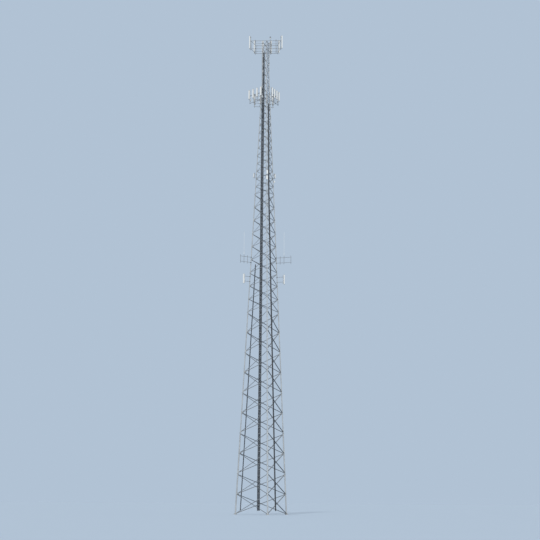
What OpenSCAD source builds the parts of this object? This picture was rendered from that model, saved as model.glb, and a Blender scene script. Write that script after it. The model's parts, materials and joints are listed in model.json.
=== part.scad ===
// Three-legged lattice cell tower with round pipe legs, X-braced faces, feedline
// ladders and antennas. Modelled at half of the real size, in millimetres.
// The origin is the centre of the underside of the front leg's base plate.
// Legs are numbered 0 front, 1 right, 2 left. Faces are numbered 0 right, 1 back,
// 2 left, and face f runs from leg f to the next leg.

/* [Tower] */
// Distance between leg centres at the base
base_face = 3886.2; // [3400:1:4400]
// Distance between leg centres in the straight top
top_face = 533.4; // [480:1:620]
// Height of one tower section
section_h = 3048; // [2900:1:3200]

/* [Legs] */
// Outer diameter of the leg pipes in sections 1 and 2
leg_od_base = 109; // [96:1:116]
// Outer diameter of the leg pipes in sections 3 to 5
leg_od_low = 84; // [76:1:96]
// Outer diameter of the leg pipes in sections 6 to 8
leg_od_mid = 70; // [60:1:76]
// Outer diameter of the leg pipes in sections 9 to 11
leg_od_high = 54; // [48:1:60]
// Outer diameter of the leg pipes in the top section
leg_od_top = 44; // [40:1:48]
// Wall of the leg pipes
leg_wall = 5; // [3:0.5:8]
// How far a joint flange stands out from the pipe
flange_lip = 24; // [18:1:28]
// Thickness of one joint flange
flange_t = 12; // [8:1:14]
// Thickness of the cap on a leg's top
cap_t = 5; // [3:1:8]

/* [Base plates] */
// Diameter of a base plate
base_plate_d = 250; // [230:1:280]
// Thickness of a base plate
base_plate_t = 20; // [14:1:30]
// Bolt circle of the anchor bolts
anchor_circle = 196; // [180:1:204]
// Hole for an anchor bolt
anchor_hole = 20; // [12:1:22]
// Height of the stiffening ribs on a base plate
rib_h = 110; // [60:1:130]

/* [Bracing] */
// Width of the brace angles in sections 1 to 5
brace_w_low = 45; // [36:1:48]
// Width of the brace angles in sections 6 to 8
brace_w_mid = 34; // [28:1:38]
// Width of the brace angles in sections 9 and 10
brace_w_high = 28; // [24:1:32]
// Width of the brace angles in sections 11 and 12
brace_w_top = 24; // [20:1:26]
// Thickness of the brace angles
brace_t = 3.5; // [2.5:0.5:5]
// Thickness of the gusset plates on the legs
gusset_t = 6; // [4:0.5:8]
// Gap between a leg pipe and the end of a brace
brace_end_gap = 8; // [6:1:14]
// Gap between pieces that are bolted together
seat = 0.3; // [0.25:0.05:0.4]

/* [Feedlines] */
// Outer diameter of one feedline
feedline_d = 23; // [18:1:24]
// Distance between neighbouring feedlines
feedline_pitch = 26; // [25:1:27]
// Number of feedlines on each ladder
lines = 8; // [4:1:8]
// Width of the feedline ladders between their rails
ladder_w = 222; // [218:1:230]
// Depth of a ladder rail
rail_d = 20; // [14:1:26]
// Thickness of a ladder rail and rung
rail_t = 6; // [4:1:8]
// Distance between ladder rungs
rung_pitch = 450; // [300:10:600]
// How far the back ladder lies from the middle of the back face
back_ladder_y = 185; // [175:1:200]
// How far the right ladder lies from the middle of the right face
right_ladder_y = 520; // [480:1:530]
// How far the narrow run lies from the left leg on the back face
side_run_gap = 375; // [330:1:420]
// Height at which the feedlines start above the base
feedline_start = 450; // [350:1:700]

/* [Antennas] */
// Width of a panel antenna
panel_w = 140; // [110:1:160]
// Depth of a panel antenna
panel_d = 68; // [50:1:80]
// Length of the panel antennas of the top array
top_panel_h = 1025; // [900:1:1100]
// Length of the panel antennas of the second array
second_panel_h = 700; // [660:1:780]
// Half of the length of the top array's front rail
top_front_half = 1160; // [1120:1:1200]
// Half of the length of the top array's back rail
top_back_half = 850; // [820:1:900]
// Distance of the top array's front rail from the tower axis
top_front_y = 600; // [570:1:640]
// Distance of the top array's back rail from the tower axis
top_back_y = 660; // [630:1:700]
// Angle by which the top array is turned about the tower axis
top_turn = 12; // [8:0.5:16]
// Distance of the second array's right rail from the tower axis
second_right_reach = 715; // [690:1:760]
// Distance of the second array's back rail from the tower axis
second_back_reach = 1080; // [1000:1:1150]
// Distance of the second array's left rail from the tower axis
second_left_reach = 980; // [940:1:1040]
// Half of the length of the second array's rails
second_half = 790; // [770:1:840]
// Diameter of the arrays' rails and mast pipes
mount_d = 30; // [28:1:34]
// Diameter of the side rails of the top array and the arms of the other mounts
arm_d = 25; // [23:1:27]
// Diameter of the arms and posts within the top array
stay_d = 20; // [18:1:22]
// Diameter of the beacon's pole
beacon_pole_d = 26; // [22:1:32]

/* [Hidden] */
$fn = 32;

legs = 3;
sections = 12;
straight_from = 11;
tower_h = sections * section_h;
fifth_below = 668;
fourth_below = 204;
third_above = 96.8;
second_below = 149.2;
second_upper_below = 178.8;
second_panel_above = 650;
top_below = 801;
top_levels = 635;
top_panel_above = 537;
beacon_above = 214;
taper_h = straight_from * section_h;
taper = (base_face - top_face) / taper_h;
axis_y = base_face / sqrt(3);
leg_lean = atan(taper / sqrt(3));
face_lean = atan(taper / (2 * sqrt(3)));
plate_x = gusset_t / 2 + seat;
galvanised = "#a3a8aa";
zinc_dark = "#8b9092";
cable_black = "#1d1d1f";
radome_white = "#e4e4df";

// Size of the tower's triangle at a height
function face_w(z) = z < taper_h ? base_face - taper * z : top_face;
function half_face(z) = face_w(z) / 2;
function leg_reach(z) = face_w(z) / sqrt(3);
function face_reach(z) = face_w(z) / (2 * sqrt(3));
function leg_angle(i) = -90 + 120 * i;
function face_angle(f) = -30 + 120 * f;

// Sizes that change from section to section
function leg_od(s) =
    s < 2 ? leg_od_base : s < 5 ? leg_od_low : s < 8 ? leg_od_mid : s < 11 ? leg_od_high : leg_od_top;
function brace_w(s) = s < 5 ? brace_w_low : s < 8 ? brace_w_mid : s < 10 ? brace_w_high : brace_w_top;
function bays(s) = s < 5 ? 2 : s < 8 ? 3 : 5;
function lean_of_leg(s) = s < straight_from ? leg_lean : 0;
function lean_of_face(s) = s < straight_from ? face_lean : 0;
function section_at(z) = max(0, min(sections - 1, floor(z / section_h)));

// Bracing points stand clear of the flanges at each end of a section
function joint_gap(s) = flange_t + brace_w(s) + 12;
function bay_z(s, n) =
    n == 0 ? s * section_h + joint_gap(s)
    : n == bays(s) ? (s + 1) * section_h - joint_gap(s)
    : s * section_h + n * section_h / bays(s);

// Heights of the mounts, each clear of the gussets at the joint or bracing point next to it
fifth_z = 6 * section_h - fifth_below;
fourth_z = bay_z(6, 1) - fourth_below;
third_z = bay_z(8, 2) + third_above;
second_z = bay_z(10, 2) - second_below;
second_upper_z = bay_z(10, 3) - second_upper_below;
second_panel_z = second_z + second_panel_above;
top_z = tower_h - top_below;
top_upper_z = top_z + top_levels;
top_panel_z = top_z + top_panel_above;
beacon_z = tower_h + beacon_above;

// Rise, run and slope of a bay's braces
function bay_rise(s, n) = (bay_z(s, n + 1) - bay_z(s, n)) / cos(lean_of_face(s));
function bay_span(s, n) = half_face(bay_z(s, n)) + half_face(bay_z(s, n + 1));
function bay_angle(s, n) = atan2(bay_rise(s, n), bay_span(s, n));
function brace_start(s, angle) =
    (leg_od(s) / 2 + brace_end_gap) / cos(angle) + brace_w(s) / 2 * tan(angle);
function gusset_reach(s, angle) = brace_start(s, angle) + 2 * brace_w(s);

// Places children on a leg at a height, with their z along the leg and x outwards
module at_leg(i, z, lean) {
    translate([0, axis_y, 0]) rotate([0, 0, leg_angle(i)])
        translate([leg_reach(z), 0, z]) rotate([0, -lean, 0]) children();
}

// Places children at the middle of a face, with x outwards, y along the face, z up it
module on_face(f, z, lean) {
    translate([0, axis_y, 0]) rotate([0, 0, face_angle(f)])
        translate([face_reach(z), 0, z]) rotate([0, -lean, 0]) children();
}

// Places children level on the tower's axis and turned towards a direction
module towards(angle, z) {
    translate([0, axis_y, z]) rotate([0, 0, angle]) children();
}

// A plate in the plane of a face, from points along and up the face
module face_plate(points, t) {
    rotate([90, 0, 90]) linear_extrude(t, center = true) polygon(points);
}

// A round bar from one point to another
module bar(from, to, d) {
    run = to - from;
    translate(from) rotate([0, acos(run[2] / norm(run)), atan2(run[1], run[0])])
        cylinder(d = d, h = norm(run));
}

// A rounded rectangle centred on the origin
module rounded(w, h, r) {
    square([w - 2 * r, h], center = true);
    square([w, h - 2 * r], center = true);
    for (x = [-1, 1], y = [-1, 1]) translate([x * (w / 2 - r), y * (h / 2 - r)]) circle(r);
}

// A ring that clamps a pipe, with its seat gap
module clamp_ring(pipe_d, wall, h) {
    difference() {
        cylinder(d = pipe_d + 2 * seat + 2 * wall, h = h, center = true);
        cylinder(d = pipe_d + 2 * seat, h = h + 2, center = true);
    }
}

// Legs: pipes with flanges, gussets and, at the foot, base plates

// Corners of a gusset's end, square to the brace that it holds
function gusset_end(s, angle, up) =
    let (p = gusset_reach(s, angle), m = brace_w(s) / 2 + 3)
    [for (k = [-1, 1])
        [p * cos(angle) - up * k * m * sin(angle), up * p * sin(angle) + k * m * cos(angle)]];

function gusset_outline(s, n) =
    let (root = brace_w(s))
    concat(
        [[0, -root]],
        n > 0 ? gusset_end(s, bay_angle(s, n - 1), -1) : [],
        n < bays(s) ? gusset_end(s, bay_angle(s, n), 1) : [],
        [[0, root]]
    );

module leg_gussets(s, i) {
    for (n = [0:bays(s)]) {
        z = bay_z(s, n);
        on_face(i, z, lean_of_face(s))
            translate([0, -half_face(z), 0]) face_plate(gusset_outline(s, n), gusset_t);
        on_face((i + legs - 1) % legs, z, lean_of_face(s))
            mirror([0, 1, 0]) translate([0, -half_face(z), 0])
                face_plate(gusset_outline(s, n), gusset_t);
    }
}

module base_plate() {
    ribs = 6;
    rib_r = leg_od_base / 2 + 28;
    difference() {
        cylinder(d = base_plate_d, h = base_plate_t);
        for (k = [0:ribs - 1]) rotate([0, 0, k * 360 / ribs])
            translate([anchor_circle / 2, 0, -1]) cylinder(d = anchor_hole, h = base_plate_t + 2);
    }
    for (k = [0:ribs - 1]) rotate([90, 0, (k + 0.5) * 360 / ribs])
        linear_extrude(gusset_t, center = true)
            polygon([[0, base_plate_t / 2], [rib_r + 16, base_plate_t / 2],
                [rib_r + 16, base_plate_t + 12], [leg_od_base / 2 + 4, rib_h], [0, rib_h]]);
}

module joint_flange(i, joint, top_of_section) {
    d = leg_od(joint - 1) + 2 * flange_lip;
    at_leg(i, joint * section_h, lean_of_leg(joint))
        translate([0, 0, top_of_section ? -flange_t - seat / 2 : seat / 2])
            cylinder(d = d, h = flange_t);
}

module leg_section(s) {
    z0 = s * section_h;
    lean = lean_of_leg(s);
    len = section_h / cos(lean);
    first = s == 0;
    last = s == sections - 1;
    bore_from = first ? 1.3 * base_plate_t : -flange_t;
    bore_to = last ? len - cap_t : len + flange_t;
    color(galvanised) for (i = [0:legs - 1]) difference() {
        union() {
            at_leg(i, z0, lean) translate([0, 0, flange_t / 2])
                cylinder(d = leg_od(s), h = len - flange_t / 2 - (last ? 0 : flange_t / 2));
            if (first) at_leg(i, 0, 0) base_plate();
            else joint_flange(i, s, false);
            if (!last) joint_flange(i, s + 1, true);
            leg_gussets(s, i);
        }
        at_leg(i, z0, lean) translate([0, 0, bore_from])
            cylinder(d = leg_od(s) - 2 * leg_wall, h = bore_to - bore_from);
    }
}

module legs_section_01() { leg_section(0); }
module legs_section_02() { leg_section(1); }
module legs_section_03() { leg_section(2); }
module legs_section_04() { leg_section(3); }
module legs_section_05() { leg_section(4); }
module legs_section_06() { leg_section(5); }
module legs_section_07() { leg_section(6); }
module legs_section_08() { leg_section(7); }
module legs_section_09() { leg_section(8); }
module legs_section_10() { leg_section(9); }
module legs_section_11() { leg_section(10); }
module legs_section_12() { leg_section(11); }

// Bracing: each bay is an X of two angles, one outside the gussets and one inside,
// joined by a spacer where they cross

module angle_profile(w) {
    polygon([[plate_x, -w / 2], [plate_x, w / 2], [plate_x + brace_t, w / 2],
        [plate_x + brace_t, -w / 2 + brace_t], [plate_x + w, -w / 2 + brace_t],
        [plate_x + w, -w / 2]]);
}

// One brace, rising from the left foot of a bay to its right top
module brace(s, n) {
    angle = bay_angle(s, n);
    start = brace_start(s, angle);
    len = norm([bay_rise(s, n), bay_span(s, n)]);
    translate([0, -half_face(bay_z(s, n)), 0]) rotate([angle - 90, 0, 0])
        translate([0, 0, start]) linear_extrude(len - 2 * start) angle_profile(brace_w(s));
}

module brace_cross(s, n) {
    w0 = half_face(bay_z(s, n));
    cross_z = bay_rise(s, n) * w0 / bay_span(s, n);
    mirror([1, 0, 0]) brace(s, n);
    mirror([0, 1, 0]) brace(s, n);
    translate([0, 0, cross_z]) rotate([0, 90, 0])
        cylinder(d = brace_w(s) / 2, h = 2 * plate_x + brace_t, center = true, $fn = 6);
}

module face_bracing(f, from, to) {
    color(zinc_dark) for (s = [from:to], n = [0:bays(s) - 1])
        on_face(f, bay_z(s, n), lean_of_face(s)) brace_cross(s, n);
}

module right_face_bracing_lower() { face_bracing(0, 0, 4); }
module right_face_bracing_middle() { face_bracing(0, 5, 7); }
module right_face_bracing_upper() { face_bracing(0, 8, 9); }
module right_face_bracing_top() { face_bracing(0, 10, 11); }
module back_face_bracing_lower() { face_bracing(1, 0, 4); }
module back_face_bracing_middle() { face_bracing(1, 5, 7); }
module back_face_bracing_upper() { face_bracing(1, 8, 9); }
module back_face_bracing_top() { face_bracing(1, 10, 11); }
module left_face_bracing_lower() { face_bracing(2, 0, 4); }
module left_face_bracing_middle() { face_bracing(2, 5, 7); }
module left_face_bracing_upper() { face_bracing(2, 8, 9); }
module left_face_bracing_top() { face_bracing(2, 10, 11); }

// Feedlines: ladders outside the faces, with a clip on a brace in every bay

rail_x = plate_x + brace_w_low + 5;
feedline_x = rail_x + rail_d + seat + feedline_d / 2;
taper_s = taper_h / cos(face_lean);
ladder_below = 140;
right_bend_s = 8 * section_h / cos(face_lean);
back_top_s = top_z - ladder_below;
right_top_s = (second_z - ladder_below) / cos(face_lean);
bend_swell = 1;
splice_gap = 8;
clip_margin = 20;
feed_below = 150;
feed_above = 60;
side_lines = 3;

// Where a ladder's rail meets the outer brace of a bay, in face coordinates
function clip_point(s, n, y0, rate) =
    let (s0 = bay_z(s, n) / cos(face_lean), w0 = half_face(bay_z(s, n)),
        k = bay_rise(s, n) / bay_span(s, n),
        y = (y0 + rate * (s0 + k * w0)) / (1 + rate * k))
    [y, s0 + k * (w0 - y)];

// A clip from a rail down to the brace under it
module rail_clip(s, point) {
    h = brace_w(s) * 0.36;
    from = plate_x + brace_t + seat;
    translate([from, point[0] - rail_t / 2, point[1] - h / 2 - brace_t / 2])
        cube([rail_x + 2 - from, rail_t, h]);
}

// A straight ladder on the sloping part of a face, from y0 + rate * s0 to s1
module face_ladder(f, s0, s1, y0, rate) {
    on_face(f, 0, face_lean) {
        turn = -atan(rate);
        len = (s1 - s0) / cos(turn);
        translate([rail_x, y0 + rate * s0, s0]) rotate([turn, 0, 0]) {
            for (k = [-1, 1]) translate([0, k * ladder_w / 2 - rail_t / 2, 0])
                cube([rail_d, rail_t, len]);
            for (z = [rung_pitch / 2:rung_pitch:len - rung_pitch / 4])
                translate([rail_d - rail_t, -ladder_w / 2, z]) cube([rail_t, ladder_w, rail_d]);
        }
        for (s = [0:straight_from - 1], n = [0:bays(s) - 1], k = [-1, 1]) {
            point = clip_point(s, n, y0 + k * ladder_w / 2 / cos(turn), rate);
            if (point[1] > s0 + clip_margin && point[1] < s1 - clip_margin) rail_clip(s, point);
        }
    }
}

module back_feedline_ladder() {
    color(galvanised) {
        face_ladder(1, feedline_start, taper_s - splice_gap, back_ladder_y, 0);
        on_face(1, taper_h, 0) {
            len = back_top_s - taper_h;
            for (k = [-1, 1])
                translate([rail_x, back_ladder_y + k * ladder_w / 2 - rail_t / 2, splice_gap])
                    cube([rail_d, rail_t, len]);
            for (z = [rung_pitch / 2:rung_pitch:len])
                translate([rail_x + rail_d - rail_t, back_ladder_y - ladder_w / 2, z])
                    cube([rail_t, ladder_w, rail_d]);
            for (n = [0:2]) {
                y = back_ladder_y - ladder_w / 2;
                k = bay_rise(11, n) / bay_span(11, n);
                z0 = bay_z(11, n) - taper_h;
                rail_clip(11, [y, z0 + k * (half_face(tower_h) - y)]);
            }
        }
    }
}

module right_feedline_ladder() {
    color(galvanised) {
        face_ladder(0, feedline_start, right_bend_s - splice_gap, -right_ladder_y, 0);
        rate = taper / 2 * cos(face_lean);
        face_ladder(0, right_bend_s + splice_gap, right_top_s, -right_ladder_y - rate * right_bend_s, rate);
    }
}

module feedline_set(f, count, y_mid, s0, s1, rate) {
    on_face(f, 0, face_lean) for (k = [0:count - 1])
        translate([feedline_x, y_mid + rate * s0 + (k - (count - 1) / 2) * feedline_pitch, s0])
            rotate([-atan(rate), 0, 0]) cylinder(d = feedline_d, h = (s1 - s0) / cos(atan(rate)));
}

module back_feedlines() {
    color(cable_black) {
        feedline_set(1, lines, back_ladder_y, feedline_start - feed_below, taper_s, 0);
        on_face(1, taper_h, 0) for (k = [0:lines - 1])
            translate([feedline_x, back_ladder_y + (k - (lines - 1) / 2) * feedline_pitch, 0]) {
                sphere(d = feedline_d + bend_swell);
                cylinder(d = feedline_d, h = back_top_s - taper_h + feed_above);
            }
    }
}

module right_feedlines() {
    color(cable_black) {
        rate = taper / 2 * cos(face_lean);
        y0 = -right_ladder_y - rate * right_bend_s;
        feedline_set(0, lines, -right_ladder_y, feedline_start - feed_below, right_bend_s, 0);
        feedline_set(0, lines, y0, right_bend_s, right_top_s + feed_above, rate);
        on_face(0, 0, face_lean) for (k = [0:lines - 1])
            translate([feedline_x, -right_ladder_y + (k - (lines - 1) / 2) * feedline_pitch, right_bend_s])
                sphere(d = feedline_d + bend_swell);
    }
}

// The narrow run beside the left leg, held by a bracket on a brace in every bay
side_rate = -taper / 2 * cos(face_lean);
side_y0 = base_face / 2 - side_run_gap;
side_top_s = (fourth_z - ladder_below) / cos(face_lean);

module side_run_brackets() {
    w = (side_lines - 1) * feedline_pitch + 2 * feedline_d;
    color(galvanised) on_face(1, 0, face_lean) for (s = [0:6], n = [0:bays(s) - 1]) {
        point = clip_point(s, n, side_y0, side_rate);
        if (point[1] > feedline_start && point[1] < side_top_s - feed_above) {
            rail_clip(s, point);
            translate([rail_x, point[0] - w / 2, point[1] - brace_t / 2 - rail_d / 2])
                cube([rail_d, w, rail_d]);
        }
    }
}

module side_feedlines() {
    color(cable_black)
        feedline_set(1, side_lines, side_y0, feedline_start - feed_below, side_top_s, side_rate);
}

// Antennas

// A panel antenna facing outwards, centred on its mast pipe, with two clamps
panel_gap = 34;
panel_step = 5;
panel_cap_h = 6;
panel_clamp_wall = 6;
panel_clamp_h = 26;
bracket_w = 28;
bracket_h = 18;

module panel_antenna(w, d, h, mast_d) {
    core = d - 2 * panel_step;
    bite = panel_clamp_wall / 2;
    translate([mast_d / 2 + panel_gap + d / 2, 0, 0]) {
        linear_extrude(h - 2 * panel_cap_h, center = true) rounded(d, w, d * 0.3);
        linear_extrude(h, center = true) rounded(core, w - 2 * panel_step, core * 0.3);
    }
    for (k = [-1, 1]) translate([0, 0, k * h * 0.38]) {
        clamp_ring(mast_d, panel_clamp_wall, panel_clamp_h);
        translate([mast_d / 2 + bite, -bracket_w / 2, -bracket_h / 2])
            cube([panel_gap + bite, bracket_w, bracket_h]);
    }
}

ring_wall = 14;
ring_h = 50;
mast_step = mount_d + seat;

// A clamp round a leg, with whatever it carries
module leg_clamp(i, z, wall, h) {
    at_leg(i, z, lean_of_leg(section_at(z))) clamp_ring(leg_od(section_at(z)), wall, h);
}

// Top array: a ring of rails round the tower at two heights, turned about its axis
top_mast_h = 1130;
top_mast_drop = 100;
top_end_gap = 50;
top_post_gap = 60;
top_rail_end = 20;
top_back_mast = 320;
front_pipe_x = 800;
front_pipe_drop = 380;
front_pipe_h = 1095;
side_angle = atan2(top_front_half - top_back_half, top_front_y + top_back_y);
side_len = norm([top_front_half - top_back_half, top_front_y + top_back_y]);
ring_rails = [[top_front_half, -top_front_y], [top_back_half, top_back_y]];

// Half of the ring's width at a distance behind the tower axis
function ring_half(y) = top_front_half - (y + top_front_y) * tan(side_angle);

// Where a leg stands in the ring's own frame, and how far out its arms start
function ring_leg(i, z) =
    leg_reach(z) * [cos(leg_angle(i) + top_turn), sin(leg_angle(i) + top_turn)];
function arm_start(z) = leg_od(section_at(z)) / 2 + ring_wall / 2;

// Places children in the ring's frame, with x to the right and y to the back
module in_ring(z) {
    translate([0, axis_y, z]) rotate([0, 0, -top_turn]) children();
}

// Places children on every panel mast of the ring, with x outwards
module on_ring_masts() {
    in_ring(0) {
        for (k = [-1, 1], y = [top_end_gap, side_len - top_end_gap])
            translate([k * top_front_half, -top_front_y, 0]) rotate([0, 0, k * side_angle])
                translate([k * ((arm_d + mount_d) / 2 + seat), y, 0])
                    rotate([0, 0, k > 0 ? 0 : 180]) children();
        for (x = [-top_back_mast, top_back_mast])
            translate([x, top_back_y + mast_step, 0]) rotate([0, 0, 90]) children();
    }
}

// An arm of the ring, from a leg's clamp to a point on a rail
module ring_arm(z, leg, to) {
    start = leg + arm_start(z) * (to - leg) / norm(to - leg);
    bar([start[0], start[1], 0], [to[0], to[1], 0], stay_d);
}

module top_array_frame() {
    color(galvanised) {
        for (z = [top_z, top_upper_z]) {
            for (i = [0:legs - 1]) leg_clamp(i, z, ring_wall, ring_h);
            in_ring(z) {
                for (r = ring_rails)
                    bar([-r[0] - top_rail_end, r[1], 0], [r[0] + top_rail_end, r[1], 0], mount_d);
                for (k = [-1, 1])
                    bar([k * top_front_half, -top_front_y, 0], [k * top_back_half, top_back_y, 0],
                        arm_d);
                ring_arm(z, ring_leg(0, z), [ring_leg(0, z)[0], -top_front_y]);
                for (i = [1, 2]) {
                    leg = ring_leg(i, z);
                    ring_arm(z, leg, [sign(leg[0]) * ring_half(leg[1]), leg[1]]);
                    ring_arm(z, leg, [leg[0], top_back_y]);
                }
            }
        }
        in_ring(0) for (r = ring_rails, k = [-1, 1])
            bar([k * (r[0] - top_post_gap), r[1], top_z],
                [k * (r[0] - top_post_gap), r[1], top_upper_z], stay_d);
    }
}

module top_array_mast_pipes() {
    color(galvanised) {
        on_ring_masts() translate([0, 0, top_z - top_mast_drop])
            cylinder(d = mount_d, h = top_mast_h);
        in_ring(top_z - front_pipe_drop) for (k = [-1, 1])
            translate([k * front_pipe_x, -top_front_y - mast_step, 0])
                cylinder(d = mount_d, h = front_pipe_h);
    }
}

module top_array_panels() {
    color(radome_white) on_ring_masts() translate([0, 0, top_panel_z])
        panel_antenna(panel_w, panel_d, top_panel_h, mount_d);
}

// Second array: one frame round the tower, with a pair of rails off every face
second_mast_y = [-725, -250, 250, 725];
second_mast_h = 1110;
second_mast_drop = 60;
second_arm_side = 8;
radio_size = [60, 110, 170];
radio_above = 230;

// Distance of a face's rails from the tower axis
function second_reach(f) = [second_right_reach, second_back_reach, second_left_reach][f];

// Places children on masts of the second array, with x outwards
module on_second_masts(places, z) {
    for (f = [0:legs - 1], y = places) towards(face_angle(f), z)
        translate([second_reach(f) + mast_step, y, 0]) children();
}

module second_array_frame() {
    color(galvanised) for (z = [second_z, second_upper_z]) {
        for (i = [0:legs - 1]) leg_clamp(i, z, ring_wall, ring_h);
        for (f = [0:legs - 1]) towards(face_angle(f), 0) {
            for (k = [-1, 1]) {
                y = k * (half_face(z) + second_arm_side);
                bar([face_reach(z) + leg_od_high / 2, y, z], [second_reach(f), y, z], arm_d);
            }
            bar([second_reach(f), -second_half, z], [second_reach(f), second_half, z], mount_d);
        }
    }
    color(galvanised) for (f = [0:legs - 1]) towards(face_angle(f), 0)
        bar([second_reach(f), 0, second_z], [second_reach(f), 0, second_upper_z], arm_d);
}

module second_array_mast_pipes() {
    color(galvanised) on_second_masts(second_mast_y, second_z - second_mast_drop)
        cylinder(d = mount_d, h = second_mast_h);
}

module second_array_panels() {
    color(radome_white) on_second_masts(second_mast_y, second_panel_z)
        panel_antenna(panel_w * 0.9, panel_d, second_panel_h, mount_d);
}

module second_array_radio_units() {
    gap = 12;
    color("#d2d3cf")
        on_second_masts([second_mast_y[0], second_mast_y[3]], second_z + radio_above) {
            clamp_ring(mount_d, 6, 60);
            translate([-mount_d / 2 - gap - radio_size[0], -radio_size[1] / 2, -radio_size[2] / 2])
                cube(radio_size);
            translate([-mount_d / 2 - gap - 4, -14, -20]) cube([gap + 2, 28, 40]);
        }
}

// Third level: a short side arm with a small antenna on each leg
third_out = 130;
third_gap = 240;
third_pipe_d = 26;
third_pipe_h = 460;
third_panel_h = 340;
third_panel_up = 200;
small_panel_w = 110;
small_panel_d = 50;

module third_level_mounts() {
    color(galvanised) for (i = [0:legs - 1]) at_leg(i, third_z, leg_lean) {
        for (z = [0, third_gap]) translate([0, 0, z]) {
            clamp_ring(leg_od_high, 12, 36);
            bar([leg_od_high / 2 + 6, 0, 0], [third_out, 0, 0], stay_d);
        }
        translate([third_out, 0, -30]) cylinder(d = third_pipe_d, h = third_pipe_h);
    }
}

module third_level_antennas() {
    color(radome_white) for (i = [0:legs - 1]) at_leg(i, third_z, leg_lean)
        translate([third_out, 0, third_panel_up])
            panel_antenna(small_panel_w, small_panel_d, third_panel_h, third_pipe_d);
}

// Side arms: two arms from a back leg, turned towards the front, that hold posts
post_over = 120;
arm_end = 30;
arm_turn = 30;

// A point on a side arm, which is turned from the back face's line towards the front
function beside(side, z, out) = [side * (half_face(z) + out * cos(arm_turn)),
    axis_y + face_reach(z) - out * sin(arm_turn), z];

module side_arm(side, z0, gap, len, posts) {
    for (up = [0, gap]) {
        leg_clamp(side > 0 ? 1 : 2, z0 + up, ring_wall, ring_h);
        bar(beside(side, z0 + up, arm_start(z0 + up)), beside(side, z0, len) + [0, 0, up], arm_d);
    }
    for (x = posts)
        bar(beside(side, z0, x) - [0, 0, post_over], beside(side, z0, x) + [0, 0, gap + post_over],
            mount_d);
}

// Fourth level: three posts on each side arm, with a whip antenna on the middle one
fourth_gap = 400;
fourth_left = 1040;
fourth_right = 1220;
left_whip_x = 675;
right_whip_x = 625;
whip_h = 1820;
whip_foot_h = 260;

module fourth_level_side_arms() {
    color(galvanised) {
        side_arm(-1, fourth_z, fourth_gap, fourth_left,
            [left_whip_x / 2, left_whip_x, fourth_left - arm_end]);
        side_arm(1, fourth_z, fourth_gap, fourth_right,
            [right_whip_x / 2, right_whip_x, fourth_right - arm_end]);
    }
}

module whip(foot) {
    translate(foot) {
        cylinder(d = 14, h = whip_h);
        cylinder(d = 24, h = whip_foot_h);
    }
}

module fourth_level_whips() {
    up = [0, 0, fourth_gap + post_over + seat];
    color(radome_white) {
        whip(beside(-1, fourth_z, left_whip_x) + up);
        whip(beside(1, fourth_z, right_whip_x) + up);
    }
}

// Fifth level: shorter side arms with one panel antenna on each
fifth_gap = 380;
fifth_left = 530;
fifth_right = 530;
fifth_panel_h = 740;

module fifth_level_side_arms() {
    color(galvanised) {
        side_arm(-1, fifth_z, fifth_gap, fifth_left, [fifth_left - arm_end]);
        side_arm(1, fifth_z, fifth_gap, fifth_right, [fifth_right - arm_end]);
    }
}

module fifth_panel(side, len) {
    translate(beside(side, fifth_z, len - arm_end) + [0, 0, fifth_gap / 2])
        rotate([0, 0, side > 0 ? -arm_turn : 180 + arm_turn])
            panel_antenna(panel_w, panel_d, fifth_panel_h, mount_d);
}

module fifth_level_panels() {
    color(radome_white) {
        fifth_panel(-1, fifth_left);
        fifth_panel(1, fifth_right);
    }
}

// Beacon on a pole beside the right leg's top
beacon_out = 95;
beacon_pole_h = 1190;
beacon_arms_up = [80, 650];
beacon_foot_d = 60;
beacon_foot_h = 12;
beacon_neck_d = 30;
beacon_neck_h = 60;
beacon_lens_d = 80;
beacon_lens_h = 130;
beacon_hood_d = 92;
beacon_hood_h = 24;

module beacon_pole() {
    foot_z = beacon_z - beacon_pole_h;
    color(galvanised) {
        at_leg(1, tower_h, 0) translate([beacon_out, 0, foot_z - tower_h])
            cylinder(d = beacon_pole_d, h = beacon_pole_h);
        for (up = beacon_arms_up) {
            leg_clamp(1, foot_z + up, 8, 30);
            at_leg(1, foot_z + up, 0) bar([leg_od_top / 2 + 5, 0, 0], [beacon_out, 0, 0], 16);
        }
    }
}

module beacon() {
    color("#d9dcdd") at_leg(1, beacon_z, 0) translate([beacon_out, 0, seat]) {
        cylinder(d = beacon_foot_d, h = beacon_foot_h);
        cylinder(d = beacon_neck_d, h = beacon_neck_h);
        translate([0, 0, beacon_neck_h]) cylinder(d = beacon_lens_d, h = beacon_lens_h);
        translate([0, 0, beacon_neck_h + beacon_lens_h]) cylinder(d = beacon_hood_d, h = beacon_hood_h);
    }
}

legs_section_01();
legs_section_02();
legs_section_03();
legs_section_04();
legs_section_05();
legs_section_06();
legs_section_07();
legs_section_08();
legs_section_09();
legs_section_10();
legs_section_11();
legs_section_12();
right_face_bracing_lower();
right_face_bracing_middle();
right_face_bracing_upper();
right_face_bracing_top();
back_face_bracing_lower();
back_face_bracing_middle();
back_face_bracing_upper();
back_face_bracing_top();
left_face_bracing_lower();
left_face_bracing_middle();
left_face_bracing_upper();
left_face_bracing_top();
back_feedline_ladder();
right_feedline_ladder();
side_run_brackets();
back_feedlines();
right_feedlines();
side_feedlines();
top_array_frame();
top_array_mast_pipes();
top_array_panels();
second_array_frame();
second_array_mast_pipes();
second_array_panels();
second_array_radio_units();
third_level_mounts();
third_level_antennas();
fourth_level_side_arms();
fourth_level_whips();
fifth_level_side_arms();
fifth_level_panels();
beacon_pole();
beacon();
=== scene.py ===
"""Half-size lattice cell tower: finishes, hardware, feedline fittings and antenna details."""

import json
import logging
import math
from dataclasses import dataclass
from enum import Enum
from typing import Iterable, Iterator, Sequence

import bmesh
import bpy
from mathutils import Matrix, Vector


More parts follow.
